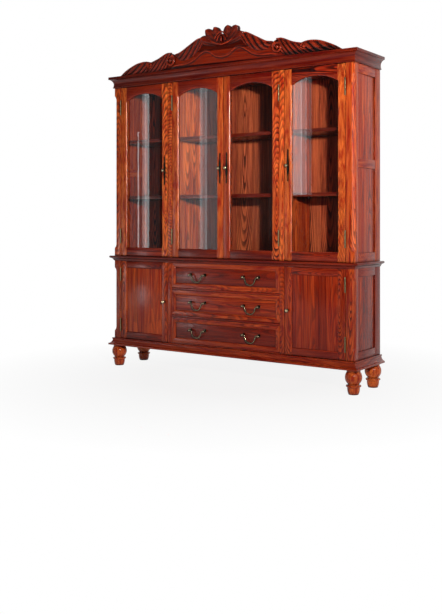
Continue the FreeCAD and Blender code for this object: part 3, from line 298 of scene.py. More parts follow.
def metal(name, dark, bright, bareness, roughness):
    """Aged metal: dark in its hollows and pits, lighter on edges and high places with rubbed wear and a
    painted highlight.
    """
    made, tree, out = material(name)
    place = add(tree, "ShaderNodeTexCoord").outputs["Object"]
    cloud = noise(tree, place, CLOUD_STRETCH, detail=3)
    pits = noise(tree, place, PIT_STRETCH)
    bare = ramp(tree, cloud, tuple(zip(CLOUD_EDGES, (CLOUD_LEAST * bareness, bareness))))
    # Rubbed wear and a painted highlight on edges and on the front of knobs, posts and bails
    rubbed_and_highlit = maths(tree, "MAXIMUM", bare, maths(tree, "MULTIPLY", attribute(tree, "wear_and_highlight"), RUBBED_AND_HIGHLIT))
    tint = blend(tree, rubbed_and_highlit, dark, bright)
    tint = blend(tree, ramp(tree, pits, PITS), tint, dark)
    rough = maths(tree, "MULTIPLY_ADD", cloud, -CLOUD_GLOSS, roughness + CLOUD_GLOSS / 2)
    bump = add(tree, "ShaderNodeBump", Height=pits, Strength=PIT_BUMP, Distance=PIT_BUMP_DEPTH)
    shader = add(tree, "ShaderNodeBsdfPrincipled", Base_Color=tint, Roughness=rough,
                 Normal=bump.outputs[0], Metallic=1.0)
    tree.links.new(shader.outputs[0], out.inputs[0])
    return made


def glass(name):
    """Clear window glass that lets the lamps through, faintly smeared."""
    made, tree, out = material(name)
    place = add(tree, "ShaderNodeTexCoord").outputs["Object"]
    smear = ramp(tree, noise(tree, place, SMEAR_STRETCH, detail=3), SMEARS)
    shader = add(tree, "ShaderNodeBsdfPrincipled", Base_Color=GLASS_TINT, IOR=GLASS_INDEX,
                 Roughness=maths(tree, "MULTIPLY", smear, SMEAR_ROUGHNESS), Transmission_Weight=1.0)
    clear = add(tree, "ShaderNodeBsdfTransparent", Color=GLASS_SHADOW)
    path = add(tree, "ShaderNodeLightPath").outputs
    light = maths(tree, "MAXIMUM", path["Is Shadow Ray"], path["Is Diffuse Ray"])
    mixed = add(tree, "ShaderNodeMixShader", i0=light, i1=shader.outputs[0], i2=clear.outputs[0])
    tree.links.new(mixed.outputs[0], out.inputs[0])
    return made


# Pale, middle and dark colour, ring width and roughness of each wood
WOODS = {
    "stained_wood": (colour(240, 120, 50), colour(174, 46, 18), colour(44, 8, 5), 0.0065, 0.13),
    "back_wood": (colour(200, 98, 58), colour(146, 58, 34), colour(56, 16, 9), 0.009, 0.38),
    "drawer_wood": (colour(214, 178, 132), colour(196, 152, 104), colour(140, 96, 58), 0.009, 0.5),
}

# Dark and bright colour, bareness and roughness of each metal
METALS = {
    "antique_bronze": (colour(30, 24, 20), colour(222, 198, 156), 0.06, 0.16),
    "hinge_brass": (colour(72, 60, 44), colour(156, 136, 98), 0.5, 0.4),
    "fitting_steel": (colour(120, 118, 112), colour(200, 198, 192), 0.7, 0.35),
}

MATERIALS = {name: wood(name, *look) for name, look in WOODS.items()}
MATERIALS.update((name, metal(name, *look)) for name, look in METALS.items())
MATERIALS["clear_glass"] = glass("clear_glass")

# The stain of each group of boards, from deep red (0) to orange (1), and how strongly its rings show.
# A node takes the first group that its name begins with, or that is its material.
STAIN = {
    "drawer_wood": (0.85, 0.5),
    # Door 1 is stained lighter than the other doors: painted light, standing in for stronger light on the
    # left
    "glass_door_1": (1.05, 0.75),
    "glass_door_2": (0.88, 0.85),
    "glass_door_3": (0.68, 1.0),
    "glass_door": (0.78, 1.0),
    "hutch_corner_posts": (0.78, 0.7),
    "hutch_side": (0.55, 0.6),
    "hutch_back": (0.92, 1.0),
    "hutch_partitions": (0.85, 0.7),
    "hutch": (0.1, 0.6),
    "shelves": (0.14, 0.5),
    "cornice": (0.08, 0.4),
    "crest": (-0.04, 0.3),
    "waist": (0.15, 0.4),
    "drawer_top": (0.14, 0.6),
    "drawer_middle": (0.46, 0.6),
    "drawer": (0.26, 0.6),
    # The lower left panel is stained lighter than the right one as a painted sheen
    "lower_door_left_panel": (0.68, 0.3),
    "lower_door_right_panel": (0.3, 0.4),
    "lower_door_left": (0.62, 0.8),
    "lower_door": (0.5, 0.8),
    "base_corner": (0.75, 0.9),
    "base_partitions": (0.5, 0.6),
    "base_side": (0.3, 0.6),
    "base": (0.36, 0.6),
    "plinth": (0.4, 0.5),
    "turned_feet": (1.0, 0.3),
}
STAIN_SPREAD = 0.13
STAIN_SPREAD_LEAST = 0.4
RAIL_TONE = 0.22
STRIP_TONE = 0.56


# Boards

# Softened edges
WOOD_ARRIS = 0.0012
METAL_ARRIS = 0.0004
ARRIS_STEPS = 2
ARRIS_PROFILE = 0.6
FLAT_TURN = math.radians(0.5)
SHARP_TURN = math.radians(24)
BEVEL_TURN = math.radians(34)
SAME_SPOT = 1e-6
SPOT_DECIMALS = 6

# How steeply the rings run out of a board's face: the narrower the board, the steeper
GRAIN_LEAN = 0.009
GRAIN_LEAST = 0.045
LYING_LEAN = 0.3
LEAN_RANGE = (0.4, 1.5)

# Where a board was cut from its trunk: how far the pith leans, lies deep and lies off the board's middle
PITH_LEAN = 0.02
PITH_DEPTH = 0.03
PITH_SHIFT = 0.35
QUARTERED_SHARE = 0.4
QUARTERED_OFFSET = (0.03, 0.1)
TRUNK_LENGTH = 50
FIGURE = (0.8, 2.2)
WIDE_BOARD = 0.14
NARROW_BOARD = 0.1

# Solids of a door's pull, which come last in its hardware, and how its bronze front is lightened: rubbed by
# hands, with a painted highlight
PULL_SOLIDS = {"glass": 2, "lower": 1}
PLATE_DEPTH = 0.005
RUB_AND_HIGHLIGHT_FROM = 0.7
RUB_AND_HIGHLIGHT_REACH = 0.014
KNOB_RUB_AND_HIGHLIGHT = 1.0
BAIL_RUB_AND_HIGHLIGHT = 0.6


def boards_of(mesh):
    """The separate solids of a mesh, as lists of face numbers: each one closes before the next begins."""
    spots = np.empty(len(mesh.vertices) * 3)
    mesh.vertices.foreach_get("co", spots)
    _, same = np.unique(np.round(spots.reshape(-1, 3), SPOT_DECIMALS), axis=0, return_inverse=True)
    same = same.ravel()
    solids, current, unclosed = [], [], set()
    for face in mesh.polygons:
        corners = [same[index] for index in face.vertices]
        for one, other in zip(corners, corners[1:] + corners[:1]):
            unclosed ^= {(min(one, other), max(one, other))}
        current.append(face.index)
        if not unclosed:
            solids.append(current)
            current = []
    if current:
        solids.append(current)
    return solids


def soften(mesh, faces, arris):
    """One solid of a mesh as its own bmesh, with flat faces joined and sharp arrises rounded over."""
    solid = bmesh.new()
    wear_and_highlight = solid.verts.layers.float.new("wear_and_highlight")
    made = {}
    for index in faces:
        corners = mesh.polygons[index].vertices
        for corner in corners:
            if corner not in made:
                made[corner] = solid.verts.new(mesh.vertices[corner].co)
        solid.faces.new([made[corner] for corner in corners])
    bmesh.ops.remove_doubles(solid, verts=solid.verts, dist=SAME_SPOT)
    bmesh.ops.dissolve_limit(solid, angle_limit=FLAT_TURN, verts=solid.verts, edges=solid.edges)
    hard = [edge for edge in solid.edges if edge.is_manifold and edge.calc_face_angle(0) > BEVEL_TURN]
    rounded = bmesh.ops.bevel(solid, geom=hard, offset=arris, segments=ARRIS_STEPS, profile=ARRIS_PROFILE,
                              affect="EDGES", clamp_overlap=True)
    # Rounded arrises carry rubbed wear and a painted highlight
    arrises = set(rounded["faces"])
    for vertex in rounded["verts"]:
        vertex[wear_and_highlight] = float(arrises.issuperset(vertex.link_faces))
    shade_smooth(solid, SHARP_TURN)
    return solid


def shade_smooth(solid, sharp_turn):
    """Shades a solid smooth, apart from its sharp edges."""
    for face in solid.faces:
        face.smooth = True
    for edge in solid.edges:
        edge.smooth = edge.is_manifold and edge.calc_face_angle(0) < sharp_turn


def stain_of(node, lying, width):
    """The stain and ring strength of one board; a door's lying rails and a drawer's strips have their own."""
    group = next((name for name in STAIN if node.startswith(name) or SLOT_OF[node] == name), "base")
    tone, strength = STAIN[group]
    if lying and "door" in node:
        tone = RAIL_TONE
    elif node.endswith("_front") and width < NARROW_BOARD:
        tone = STRIP_TONE
    spread = chance.uniform(-STAIN_SPREAD, STAIN_SPREAD) * (STAIN_SPREAD_LEAST + tone)
    return tone + spread, strength


def lay_grain(solid, node):
    """Gives a board grain coordinates: rings about a pith that leans out of the board's face or side."""
    grain = solid.verts.layers.float_vector.new("grain")
    finish = solid.verts.layers.float_vector.new("finish")
    spots = np.array([vertex.co for vertex in solid.verts])
    low, high = spots.min(0), spots.max(0)
    size = high - low
    thin, wide, along = np.argsort(size, kind="stable")
    lying = along == 0
    lean = chance.choice((-1, 1)) * chance.uniform(*LEAN_RANGE) * GRAIN_LEAN / max(size[wide], GRAIN_LEAST)
    if lying:
        lean *= LYING_LEAN
    sideways = chance.uniform(-PITH_LEAN, PITH_LEAN)
    depth = chance.uniform(-PITH_DEPTH, PITH_DEPTH)
    shift = chance.uniform(-PITH_SHIFT, PITH_SHIFT) * size[wide]
    if chance.random() < QUARTERED_SHARE:
        shift += chance.choice((-1, 1)) * (size[wide] + chance.uniform(*QUARTERED_OFFSET))
    start = chance.uniform(0, TRUNK_LENGTH)
    stain = stain_of(node, lying, size[wide])
    staves = 1.0 if size[wide] > WIDE_BOARD else 0.0
    figure = chance.uniform(*FIGURE) if size[wide] < NARROW_BOARD else FIGURE[0]
    for vertex in solid.verts:
        local = np.array(vertex.co) - (low + high) / 2
        vertex[grain] = (local[wide] + shift + sideways * local[along],
                         local[thin] + depth + lean * local[along], local[along] * figure + start)
        vertex[finish] = (*stain, staves)


def rub_and_highlight_front(solid, most):
    """Lightens what stands out furthest to the front on a knob, post or bail: wear that hands rub bright,
    with a painted highlight.
    """
    wear_and_highlight = solid.verts.layers.float["wear_and_highlight"]
    depths = [vertex.co.y for vertex in solid.verts]
    near, far = min(depths), max(depths)
    if far - near < PLATE_DEPTH:
        return
    for vertex in solid.verts:
        share = (far - vertex.co.y) / (far - near)
        rubbed_and_highlit = most * (share - RUB_AND_HIGHLIGHT_FROM) / (1 - RUB_AND_HIGHLIGHT_FROM) * min(1.0, (far - near) / RUB_AND_HIGHLIGHT_REACH)
        vertex[wear_and_highlight] = max(vertex[wear_and_highlight], rubbed_and_highlit)


def put_in_place(piece, node):
    """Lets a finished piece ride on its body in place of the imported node."""
    bpy.context.scene.collection.objects.link(piece)
    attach(piece, BODY_OF[node])
    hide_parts(node)


def dress(node, arris, hinged_pulls=0):
    """Replaces a node by its own solids with softened arrises, each board with its own grain.

    On a door's hardware the pull's solids come last, after the hinge leaves.
    """
    source = NODES[node].data
    solids = boards_of(source)
    slots = [SLOT_OF[node]] * len(solids)
    if hinged_pulls:
        slots[:-hinged_pulls] = ["hinge_brass"] * (len(solids) - hinged_pulls)
    used = list(dict.fromkeys(slots))
    whole = bmesh.new()
    for faces, slot in zip(solids, slots):
        solid = soften(source, faces, arris)
        lay_grain(solid, node)
        if slot == "antique_bronze":
            rub_and_highlight_front(solid, KNOB_RUB_AND_HIGHLIGHT if hinged_pulls else BAIL_RUB_AND_HIGHLIGHT)
        for face in solid.faces:
            face.material_index = used.index(slot)
        part = bpy.data.meshes.new("part")
        solid.to_mesh(part)
        solid.free()
        whole.from_mesh(part)
        bpy.data.meshes.remove(part)
    mesh = bpy.data.meshes.new(node + "_finish")
    whole.to_mesh(mesh)
    whole.free()
    for slot in used:
        mesh.materials.append(MATERIALS[slot])
    put_in_place(bpy.data.objects.new(node + "_finish", mesh), node)


def dress_all():
    """Softens every wooden and metal node and gives the panes their glass."""
    for node, slot in SLOT_OF.items():
        if slot == "clear_glass":
            NODES[node].data.materials.clear()
            NODES[node].data.materials.append(MATERIALS[slot])
        elif node in CREST_NODES:
            continue
        elif "wood" in slot:
            dress(node, WOOD_ARRIS)
        else:
            dress(node, METAL_ARRIS, PULL_SOLIDS.get(node.split("_")[0], 0))


# Carved crest
# Outlines are points (x, z) of the right half; the left half is the same, mirrored.

CREST_NODES = ("crest_board", "crest_leaves", "crest_shell")
CREST_FOOT = 2.1
CREST_TOP = 2.3525
CREST_FRONT = -0.1765
CREST_BACK = -0.1505
SHELL_BACK = -0.16
LEAF_BACK = -0.171
CARVED_TURN = math.radians(62)

# The board's upper edge, and the ridge that winds across it with its profile: offset, height and shade, which
# paints shadow below the bead and on its flanks and a highlight on its top
BOARD_EDGE = ((0.895, 2.102), (0.84, 2.132), (0.745, 2.169), (0.66, 2.178), (0.608, 2.168), (0.55, 2.183),
              (0.473, 2.214), (0.43, 2.216), (0.395, 2.203), (0.347, 2.212), (0.273, 2.249), (0.2, 2.285),
              (0.14, 2.282), (0.06, 2.296), (0.0, 2.3))
BOARD_STEPS = 200
RIDGE = ((0.47, 2.112), (0.4, 2.126), (0.31, 2.13), (0.25, 2.144), (0.2, 2.172), (0.165, 2.193),
         (0.135, 2.201), (0.1, 2.19), (0.055, 2.16), (0.0, 2.147))
RIDGE_PROFILE = ((-0.016, 0.0, 0.0), (-0.009, 0.0, 0.9), (-0.0055, 0.004, 0.6), (-0.001, 0.0095, -0.6),
                 (0.003, 0.009, -1.0), (0.007, 0.0055, 0.5), (0.013, 0.0045, 0.0))
RIDGE_STEPS = 100
RIDGE_END = 0.44
RIDGE_FADE = 0.05

# Leaves: lower and upper edge, number of flutes and how far the flutes slant
OUTER_LEAF = (((0.893, 2.1005), (0.83, 2.1005), (0.72, 2.1005), (0.655, 2.101)),
              ((0.895, 2.105), (0.839, 2.137), (0.745, 2.174), (0.665, 2.183), (0.61, 2.173)))
MIDDLE_LEAF = (((0.665, 2.1005), (0.6, 2.1005), (0.53, 2.103), (0.47, 2.12)),
               ((0.61, 2.175), (0.55, 2.189), (0.473, 2.22), (0.43, 2.222)))
SHOULDER_LEAF = (((0.4, 2.19), (0.345, 2.158), (0.27, 2.163), (0.2, 2.202), (0.15, 2.248)),
                 ((0.396, 2.209), (0.347, 2.218), (0.273, 2.255), (0.195, 2.292), (0.15, 2.287)))
LEAVES = ((OUTER_LEAF, 5, 0.22), (MIDDLE_LEAF, 5, 0.2), (SHOULDER_LEAF, 5, 0.3))
LEAF_GRID = (30, 140)
LEAF_HEIGHT = 0.017
LEAF_LIFT = 0.001
LEAF_ROLL = (0.06, 0.84)
LEAF_TIP = (0.35, 2.2)
FLUTE_BOW = 1.5
FLUTE_FULLNESS = 0.6
FLUTE_FLOOR = 0.2
FLUTE_DARKNESS = 1.7
FLUTE_NARROWNESS = 1.5
FLUTE_RUB_AND_HIGHLIGHT = 0.7
FLUTE_RUB_AND_HIGHLIGHT_NARROWNESS = 4
RIM_RADIUS = 0.0045
RIM_LIFT = 0.009
RIM_TIP = (0.3, 3)

# Scrolls: eye, first and last radius, turns, first angle and thickness; their eyes: radius and lift
SCROLL_EYE = (0.437, 2.166)
CURL_EYE = (0.628, 2.148)
SCROLLS = ((SCROLL_EYE, 0.036, 0.021, 1.2, math.pi * 0.6, 0.0095),
           (CURL_EYE, 0.02, 0.009, 1.0, math.pi * 0.5, 0.0065))
EYES = ((SCROLL_EYE, 0.015, 0.0055), (CURL_EYE, 0.008, 0.0085))
SCROLL_LIFT = 0.0095
SCROLL_STEPS = 70
SCROLL_TAPER = 0.35
EYE_STEPS = 16
EYE_END = 0.05

# Shell: lobes by angle in degrees, length and width, and the strands that bind them
SHELL_ROOT = (0.01, 2.222)
PETALS = ((68, 0.178, 0.066), (45, 0.168, 0.066), (20, 0.138, 0.06))
PETAL_GRID = (34, 31)
PETAL_START = 0.05
PETAL_ROUND = 0.7
PETAL_ROOT = 0.25
PETAL_LEAST = 0.0004
PETAL_LIFT = 0.003
PETAL_HEIGHT = 0.016
PETAL_RISE = 1.3
PETAL_CROWN = 0.8
PETAL_RUB_AND_HIGHLIGHT = 0.7
PETAL_DARKNESS = 1.2
PETAL_EDGE_NARROWNESS = 8
VEIN_AT = 0.45
VEIN_WIDTH = 0.12
VEIN_DEPTH = 0.0035
VEIN_FADE = 1.6
VEIN_END = 1.05
ARCH = ((0.052, 2.272), (0.04, 2.292), (0.018, 2.309), (0.0, 2.314), (-0.018, 2.309), (-0.04, 2.292),
        (-0.052, 2.272))
ARCH_STEPS = 50
ARCH_RADIUS = 0.0055
ARCH_LIFT = 0.0145
INNER_ARCH_SCALE = (0.68, 1)
INNER_ARCH_DROP = (0, 0.015)
INNER_ARCH_RADIUS = 0.0045
INNER_ARCH_LIFT = 0.0135
STEM = ((0.0, 2.232), (0.045, 2.242), (0.09, 2.262), (0.13, 2.284), (0.175, 2.292))
STEM_STEPS = 40
STEM_RADII = (0.004, 0.007)
STEM_LIFT = 0.004
DROP = ((0, 2.285), (0, 2.27), (0, 2.25))
DROP_STEPS = 20
DROP_RADIUS = 0.0065
DROP_SWELL = (0.5, 2.9)
DROP_LIFT = 0.0125

# Round strands: sides, and the painted shade of their crowns and flanks: a painted highlight with rubbed wear
# on the crown, painted shade on the flanks
STRAND_SIDES = 12
STRAND_CROWN = 0.3
STRAND_SHADES = (-0.9, 0.5)
LEAST_LENGTH = 1e-9


def smooth_line(points, count):
    """A number of points along a smooth curve through the given ones."""
    knots = np.array(points, float)
    knots = np.vstack((2 * knots[0] - knots[1], knots, 2 * knots[-1] - knots[-2]))
    where = np.linspace(0, len(points) - 1, count)
    start = np.minimum(where.astype(int), len(points) - 2)
    t = (where - start)[:, None]
    a, b, c, d = (knots[start + step] for step in range(4))
    square = (a - 2.5 * b + 2 * c - d / 2) * t ** 2
    cube = (1.5 * (b - c) + (d - a) / 2) * t ** 3
    return b + (c - a) * t / 2 + square + cube


def slab(plan, relief, shade, back_y):
    """A closed carved slab over a grid of (x, z) points: its relief in front, flat behind.

    Its painted shade runs from -1, a painted highlight with rubbed wear on high places, to 1, painted shade
    in hollows.
    """
    rows, columns = relief.shape
    count = rows * columns
    front = np.dstack((plan[..., 0], CREST_FRONT - relief, plan[..., 1])).reshape(-1, 3)
    back = front.copy()
    back[:, 1] = back_y
    numbers = np.arange(count).reshape(rows, columns)
    corners = (numbers[:-1, :-1], numbers[:-1, 1:], numbers[1:, 1:], numbers[1:, :-1])
    quads = np.dstack(corners).reshape(-1, 4)
    rim = np.concatenate((numbers[0], numbers[1:, -1], numbers[-1, -2::-1], numbers[-2:0:-1, 0]))
    ahead = np.roll(rim, -1)
    sides = np.column_stack((ahead, rim, rim + count, ahead + count))
    faces = np.concatenate((quads, quads[:, ::-1] + count, sides))
    return np.concatenate((front, back)), faces, np.concatenate((shade.ravel(), np.zeros(count)))


def strand(line, radii, lift):
    """A closed round strand along a line of (x, z) points, its middle lifted off the board."""
    turns = np.linspace(0, 2 * math.pi, STRAND_SIDES, endpoint=False)
    ahead = np.gradient(line, axis=0)
    ahead /= np.linalg.norm(ahead, axis=1)[:, None] + LEAST_LENGTH
    beside = np.column_stack((-ahead[:, 1], ahead[:, 0]))
    plan = line[:, None] + (radii[:, None] * np.cos(turns))[..., None] * beside[:, None]
    depth = CREST_FRONT - lift - radii[:, None] * np.sin(turns)
    points = np.dstack((plan[..., 0], depth, plan[..., 1])).reshape(-1, 3)
    numbers = np.arange(len(points)).reshape(len(line), len(turns))
    after = np.roll(numbers, -1, axis=1)
    sides = np.dstack((numbers[:-1], after[:-1], after[1:], numbers[1:])).reshape(-1, 4).tolist()
    faces = sides + [numbers[0, ::-1].tolist(), numbers[-1].tolist()]
    # Painted highlight with rubbed wear on the crown facing front, painted shade on the flanks
    return points, faces, np.tile(np.where(np.sin(turns) > STRAND_CROWN, *STRAND_SHADES), len(line))


def ball(centre, radius, lift):
    """A round boss standing out of the board."""
    turn = np.linspace(EYE_END, math.pi - EYE_END, EYE_STEPS)
    line = np.column_stack((centre[0] - radius * np.cos(turn), np.full(EYE_STEPS, centre[1])))
    return strand(line, radius * np.sin(turn), lift)


def spiral(centre, first, last, turns, start, body):
    """A strand that winds in toward an eye."""
    share = np.linspace(0, 1, SCROLL_STEPS)
    radius = first + (last - first) * share
    angle = start + 2 * math.pi * turns * share
    line = np.array(centre) + np.column_stack((radius * np.cos(angle), radius * np.sin(angle)))
    return strand(line, body * (1 - SCROLL_TAPER * share), SCROLL_LIFT)


def growth(along, tip):
    """How far a leaf has grown to its full height: a first share at its tip, then a slope up to 1."""
    first, slope = tip
    return np.minimum(1, first + slope * along)


def leaf(edges, flutes, slant):
    """A raised leaf between its lower and upper edge: slanting round flutes and a rolled upper rim."""
    rows, columns = LEAF_GRID
    along, up = np.linspace(0, 1, columns), np.linspace(0, 1, rows)[:, None]
    lower, upper = (smooth_line(edge, columns) for edge in edges)
    plan = lower * (1 - up)[..., None] + upper * up[..., None]
    phase = flutes * (along + slant * (1 - up) ** FLUTE_BOW)
    lobe = np.abs(np.sin(math.pi * phase)) ** FLUTE_FULLNESS
    swell = np.sqrt(np.sin(math.pi * (LEAF_ROLL[0] + LEAF_ROLL[1] * up))) * growth(along, LEAF_TIP)
    relief = LEAF_HEIGHT * swell * (FLUTE_FLOOR + (1 - FLUTE_FLOOR) * lobe) + LEAF_LIFT
    # Painted shade in the grooves between flutes, a painted highlight with rubbed wear on their crowns
    shade = FLUTE_DARKNESS * (1 - lobe) ** FLUTE_NARROWNESS - FLUTE_RUB_AND_HIGHLIGHT * lobe ** FLUTE_RUB_AND_HIGHLIGHT_NARROWNESS
    rim = strand(upper - (0, RIM_RADIUS), RIM_RADIUS * growth(along, RIM_TIP), RIM_LIFT)
    return [slab(plan, relief, shade, LEAF_BACK), rim]


def board():
    """The crest's board: flat below the winding ridge and a step higher above it."""
    half = smooth_line(BOARD_EDGE, BOARD_STEPS)
    edge = np.concatenate((half, half[-2::-1] * (-1, 1)))
    ridge = smooth_line(RIDGE, RIDGE_STEPS)[::-1]
    middle = np.interp(np.abs(edge[:, 0]), ridge[:, 0], ridge[:, 1])
    reach = np.clip((RIDGE_END - np.abs(edge[:, 0])) / RIDGE_FADE, 0, 1)
    levels, reliefs, shades = [np.full(len(edge), CREST_FOOT)], [0 * reach], [0 * reach]
    for offset, height, shade in RIDGE_PROFILE:
        levels.append(np.clip(middle + offset, CREST_FOOT, edge[:, 1]))
        reliefs.append(height * reach)
        shades.append(shade * reach)
    levels.append(edge[:, 1])
    reliefs.append(reliefs[-1])
    shades.append(0 * reach)
    plan = np.dstack((np.tile(edge[:, 0], (len(levels), 1)), np.array(levels)))
    return slab(plan, np.array(reliefs), np.array(shades), CREST_BACK)


def petal(degrees, length, width):
    """One lobe of the shell: a round-ended blade that swells and rolls over from the root to its tip."""
    rows, columns = PETAL_GRID
    out, side = np.linspace(PETAL_START, 1, rows)[:, None], np.linspace(-1, 1, columns)
    sine, cosine = math.sin(math.radians(degrees)), math.cos(math.radians(degrees))
    past = np.clip((out - PETAL_ROUND) / (1 - PETAL_ROUND), 0, 1)
    tip = np.sqrt(np.clip(1 - past ** 2, PETAL_LEAST, 1))
    half = width / 2 * (PETAL_ROOT + (1 - PETAL_ROOT) * np.minimum(1, out / PETAL_ROUND)) * tip
    plan = np.dstack((SHELL_ROOT[0] + out * length * sine + side * half * cosine,
                      SHELL_ROOT[1] + out * length * cosine - side * half * sine))
    plan[..., 1] = np.minimum(plan[..., 1], CREST_TOP)
    vein = np.exp(-((np.abs(side) - VEIN_AT) / VEIN_WIDTH) ** 2) * np.minimum(1, VEIN_FADE * (VEIN_END - out))
    swell = out ** PETAL_RISE * np.sqrt(1 - PETAL_CROWN * side ** 2)
    relief = PETAL_LIFT + PETAL_HEIGHT * swell - VEIN_DEPTH * vein
    # Painted highlight with rubbed wear on the crown, painted shade at the edges, in the veins and toward the
    # root
    rubbed_and_highlit = PETAL_RUB_AND_HIGHLIGHT * out ** 2 * (1 - side ** 2)
    shade = PETAL_DARKNESS * (side ** PETAL_EDGE_NARROWNESS + vein) + (1 - out) ** 2 - rubbed_and_highlit
    return slab(plan, relief, shade, SHELL_BACK)


def mirrored(solids):
    """Solids of the right half and their mirror images."""
    return solids + [(points * (-1, 1, 1), faces, shade) for points, faces, shade in solids]


def carve(node, solids):
    """One carved piece of the crest in place of its plain node."""
    mesh = bpy.data.meshes.new(node + "_carving")
    points = np.concatenate([solid[0] for solid in solids])
    faces, base = [], 0
    for spots, corners, _ in solids:
        faces += [[base + int(corner) for corner in face] for face in corners]
        base += len(spots)
    mesh.from_pydata(points.tolist(), [], faces)
    form = bmesh.new()
    form.from_mesh(mesh)
    # The shade becomes painted shade in hollows and a painted highlight with rubbed wear on high places
    painted_hollow_shade, wear_and_highlight = form.verts.layers.float.new("painted_hollow_shade"), form.verts.layers.float.new("wear_and_highlight")
    for vertex, shade in zip(form.verts, np.concatenate([solid[2] for solid in solids])):
        vertex[painted_hollow_shade] = min(1, max(0, shade))
        vertex[wear_and_highlight] = min(1, max(0, -shade))
    bmesh.ops.remove_doubles(form, verts=form.verts, dist=SAME_SPOT)
    bmesh.ops.recalc_face_normals(form, faces=form.faces)
    lay_grain(form, node)
    shade_smooth(form, CARVED_TURN)
    form.to_mesh(mesh)
    form.free()
    mesh.materials.append(MATERIALS["stained_wood"])
    put_in_place(bpy.data.objects.new(node + "_carving", mesh), node)


def shell():
    """The shell's lobes on their stems, bound by two arches and a drop."""
    stem = strand(smooth_line(STEM, STEM_STEPS), np.linspace(*STEM_RADII, STEM_STEPS), STEM_LIFT)
    halves = mirrored([petal(*sizes) for sizes in PETALS] + [stem])
    arch = smooth_line(ARCH, ARCH_STEPS)
    inner_arch = arch * INNER_ARCH_SCALE - INNER_ARCH_DROP
    swell = np.sin(np.linspace(*DROP_SWELL, DROP_STEPS))
    return halves + [strand(arch, np.full(ARCH_STEPS, ARCH_RADIUS), ARCH_LIFT),
                     strand(inner_arch, np.full(ARCH_STEPS, INNER_ARCH_RADIUS), INNER_ARCH_LIFT),
                     strand(smooth_line(DROP, DROP_STEPS), DROP_RADIUS * swell, DROP_LIFT)]


def carve_crest():
    """Board with its ridge, three leaves a side with scrolls, and the shell in the middle."""
    carve("crest_board", [board()])
    leaves = []
    for sizes in LEAVES:
        leaves += leaf(*sizes)
    for scroll, eye in zip(SCROLLS, EYES):
        leaves += [spiral(*scroll), ball(*eye)]
    carve("crest_leaves", mirrored(leaves))
    carve("crest_shell", shell())


# Studio

# Camera: lens and middle in the photograph's pixels, place in metres, sensor in millimetres
IMAGE_HEIGHT = 614
FOCAL_PIXELS = 857
PRINCIPAL_OFFSET = (26.4, 88.4)
CAMERA_AT = (3.319, -4.831, 1.070)
CAMERA_AZIMUTH = math.radians(33.81)
SENSOR = 36

# Brightness of the room, straight and in mirrors, of a doorway that the doors mirror, and of soft light
ROOM = 0.75
MIRRORED_ROOM = 0.3
ROOM_EDGES = (0.4, 0.56)
DOORWAY = 0.03
DOORWAY_TOWARD = (-0.574, -0.818, 0.05)
DOORWAY_RIM = ((0.9, 0.0), (0.965, 1.0))
SOFT_LIGHT = ((0.45, 0.03), (0.75, 0.38))

# Floor: half its side, its grey, and how it fades to white with the distance from the case
FLOOR_HALF = 12.0
FLOOR_GREY = 0.86
FADE_REACH = 4.0
FADE = ((0.15, 0.86), (0.5, 1.0))

# Lamps: place, aim, width and height, and spread in degrees; their watts and tints
KEY_PLACE = ((3.13, -3.1, 1.78), (0.2, -0.16, 1.75), (0.16, 0.16), 70)
KEY_WATTS = 34
KEY_TINT = (1.0, 0.96, 0.9)
RIGHT_PLACE = ((3.64, -1.54, 1.5), (0.97, -0.19, 1.5), (0.4, 1.9), 180)
RIGHT_FILL_WATTS = 5
RIGHT_CARD_WATTS = 21
RIGHT_TINT = (1.0, 0.98, 0.95)

# Pale strips that the doors mirror: x, z, width, height and watts
CARDS = ((-3.25, 1.62, 0.17, 2.0, 0.4), (-3.236, 1.4, 0.015, 1.34, 0.2), (-3.15, 1.62, 0.04, 2.0, 0.3),
         (-3.105, 1.62, 0.05, 2.0, 0.8), (-3.0, 1.62, 0.13, 2.0, 0.1), (-2.3, 1.62, 0.08, 2.0, 0.8),
         (-2.17, 1.62, 0.17, 2.0, 0.9), (-2.5, 1.62, 0.3, 2.0, 1.5), (-1.12, 1.98, 0.11, 1.34, 1.4),
         (-1.035, 1.98, 0.06, 1.34, 0.5), (-0.975, 1.98, 0.06, 1.34, 0.2), (-3.28, 0.3, 0.4, 0.56, 8.0))
CARD_Y = -3.0
CARD_AIM = 2.2
CARD_SPREAD = 180
CARD_TINT = (0.95, 0.98, 1.0)
DOOR_Y = -0.16


def make_camera():
    """The photograph's camera: level, with its lens shifted as the picture was cropped."""
    data = bpy.data.cameras.new("camera")
    data.sensor_width = SENSOR
    data.lens = FOCAL_PIXELS / IMAGE_HEIGHT * SENSOR
    data.shift_x = -PRINCIPAL_OFFSET[0] / IMAGE_HEIGHT
    data.shift_y = -PRINCIPAL_OFFSET[1] / IMAGE_HEIGHT
    camera = bpy.data.objects.new("camera", data)
    camera.location = CAMERA_AT
    camera.rotation_euler = (math.pi / 2, 0, CAMERA_AZIMUTH)
    bpy.context.scene.collection.objects.link(camera)
    bpy.context.scene.camera = camera


def lamp(name, at, toward, size, spread, watts, tint, lights_up=True):
    """A soft box lamp of a width and height aimed at a point; some are only mirrored and light nothing up."""
    data = bpy.data.lights.new(name, "AREA")
    data.shape = "RECTANGLE"
    data.size, data.size_y = size
    data.spread = math.radians(spread)
    data.energy = watts
    data.color = tint
    made = bpy.data.objects.new(name, data)
    made.location = at
    made.visible_camera = False
    made.visible_diffuse = lights_up
    made.rotation_euler = (Vector(toward) - Vector(at)).to_track_quat("-Z", "Y").to_euler()
    bpy.context.scene.collection.objects.link(made)


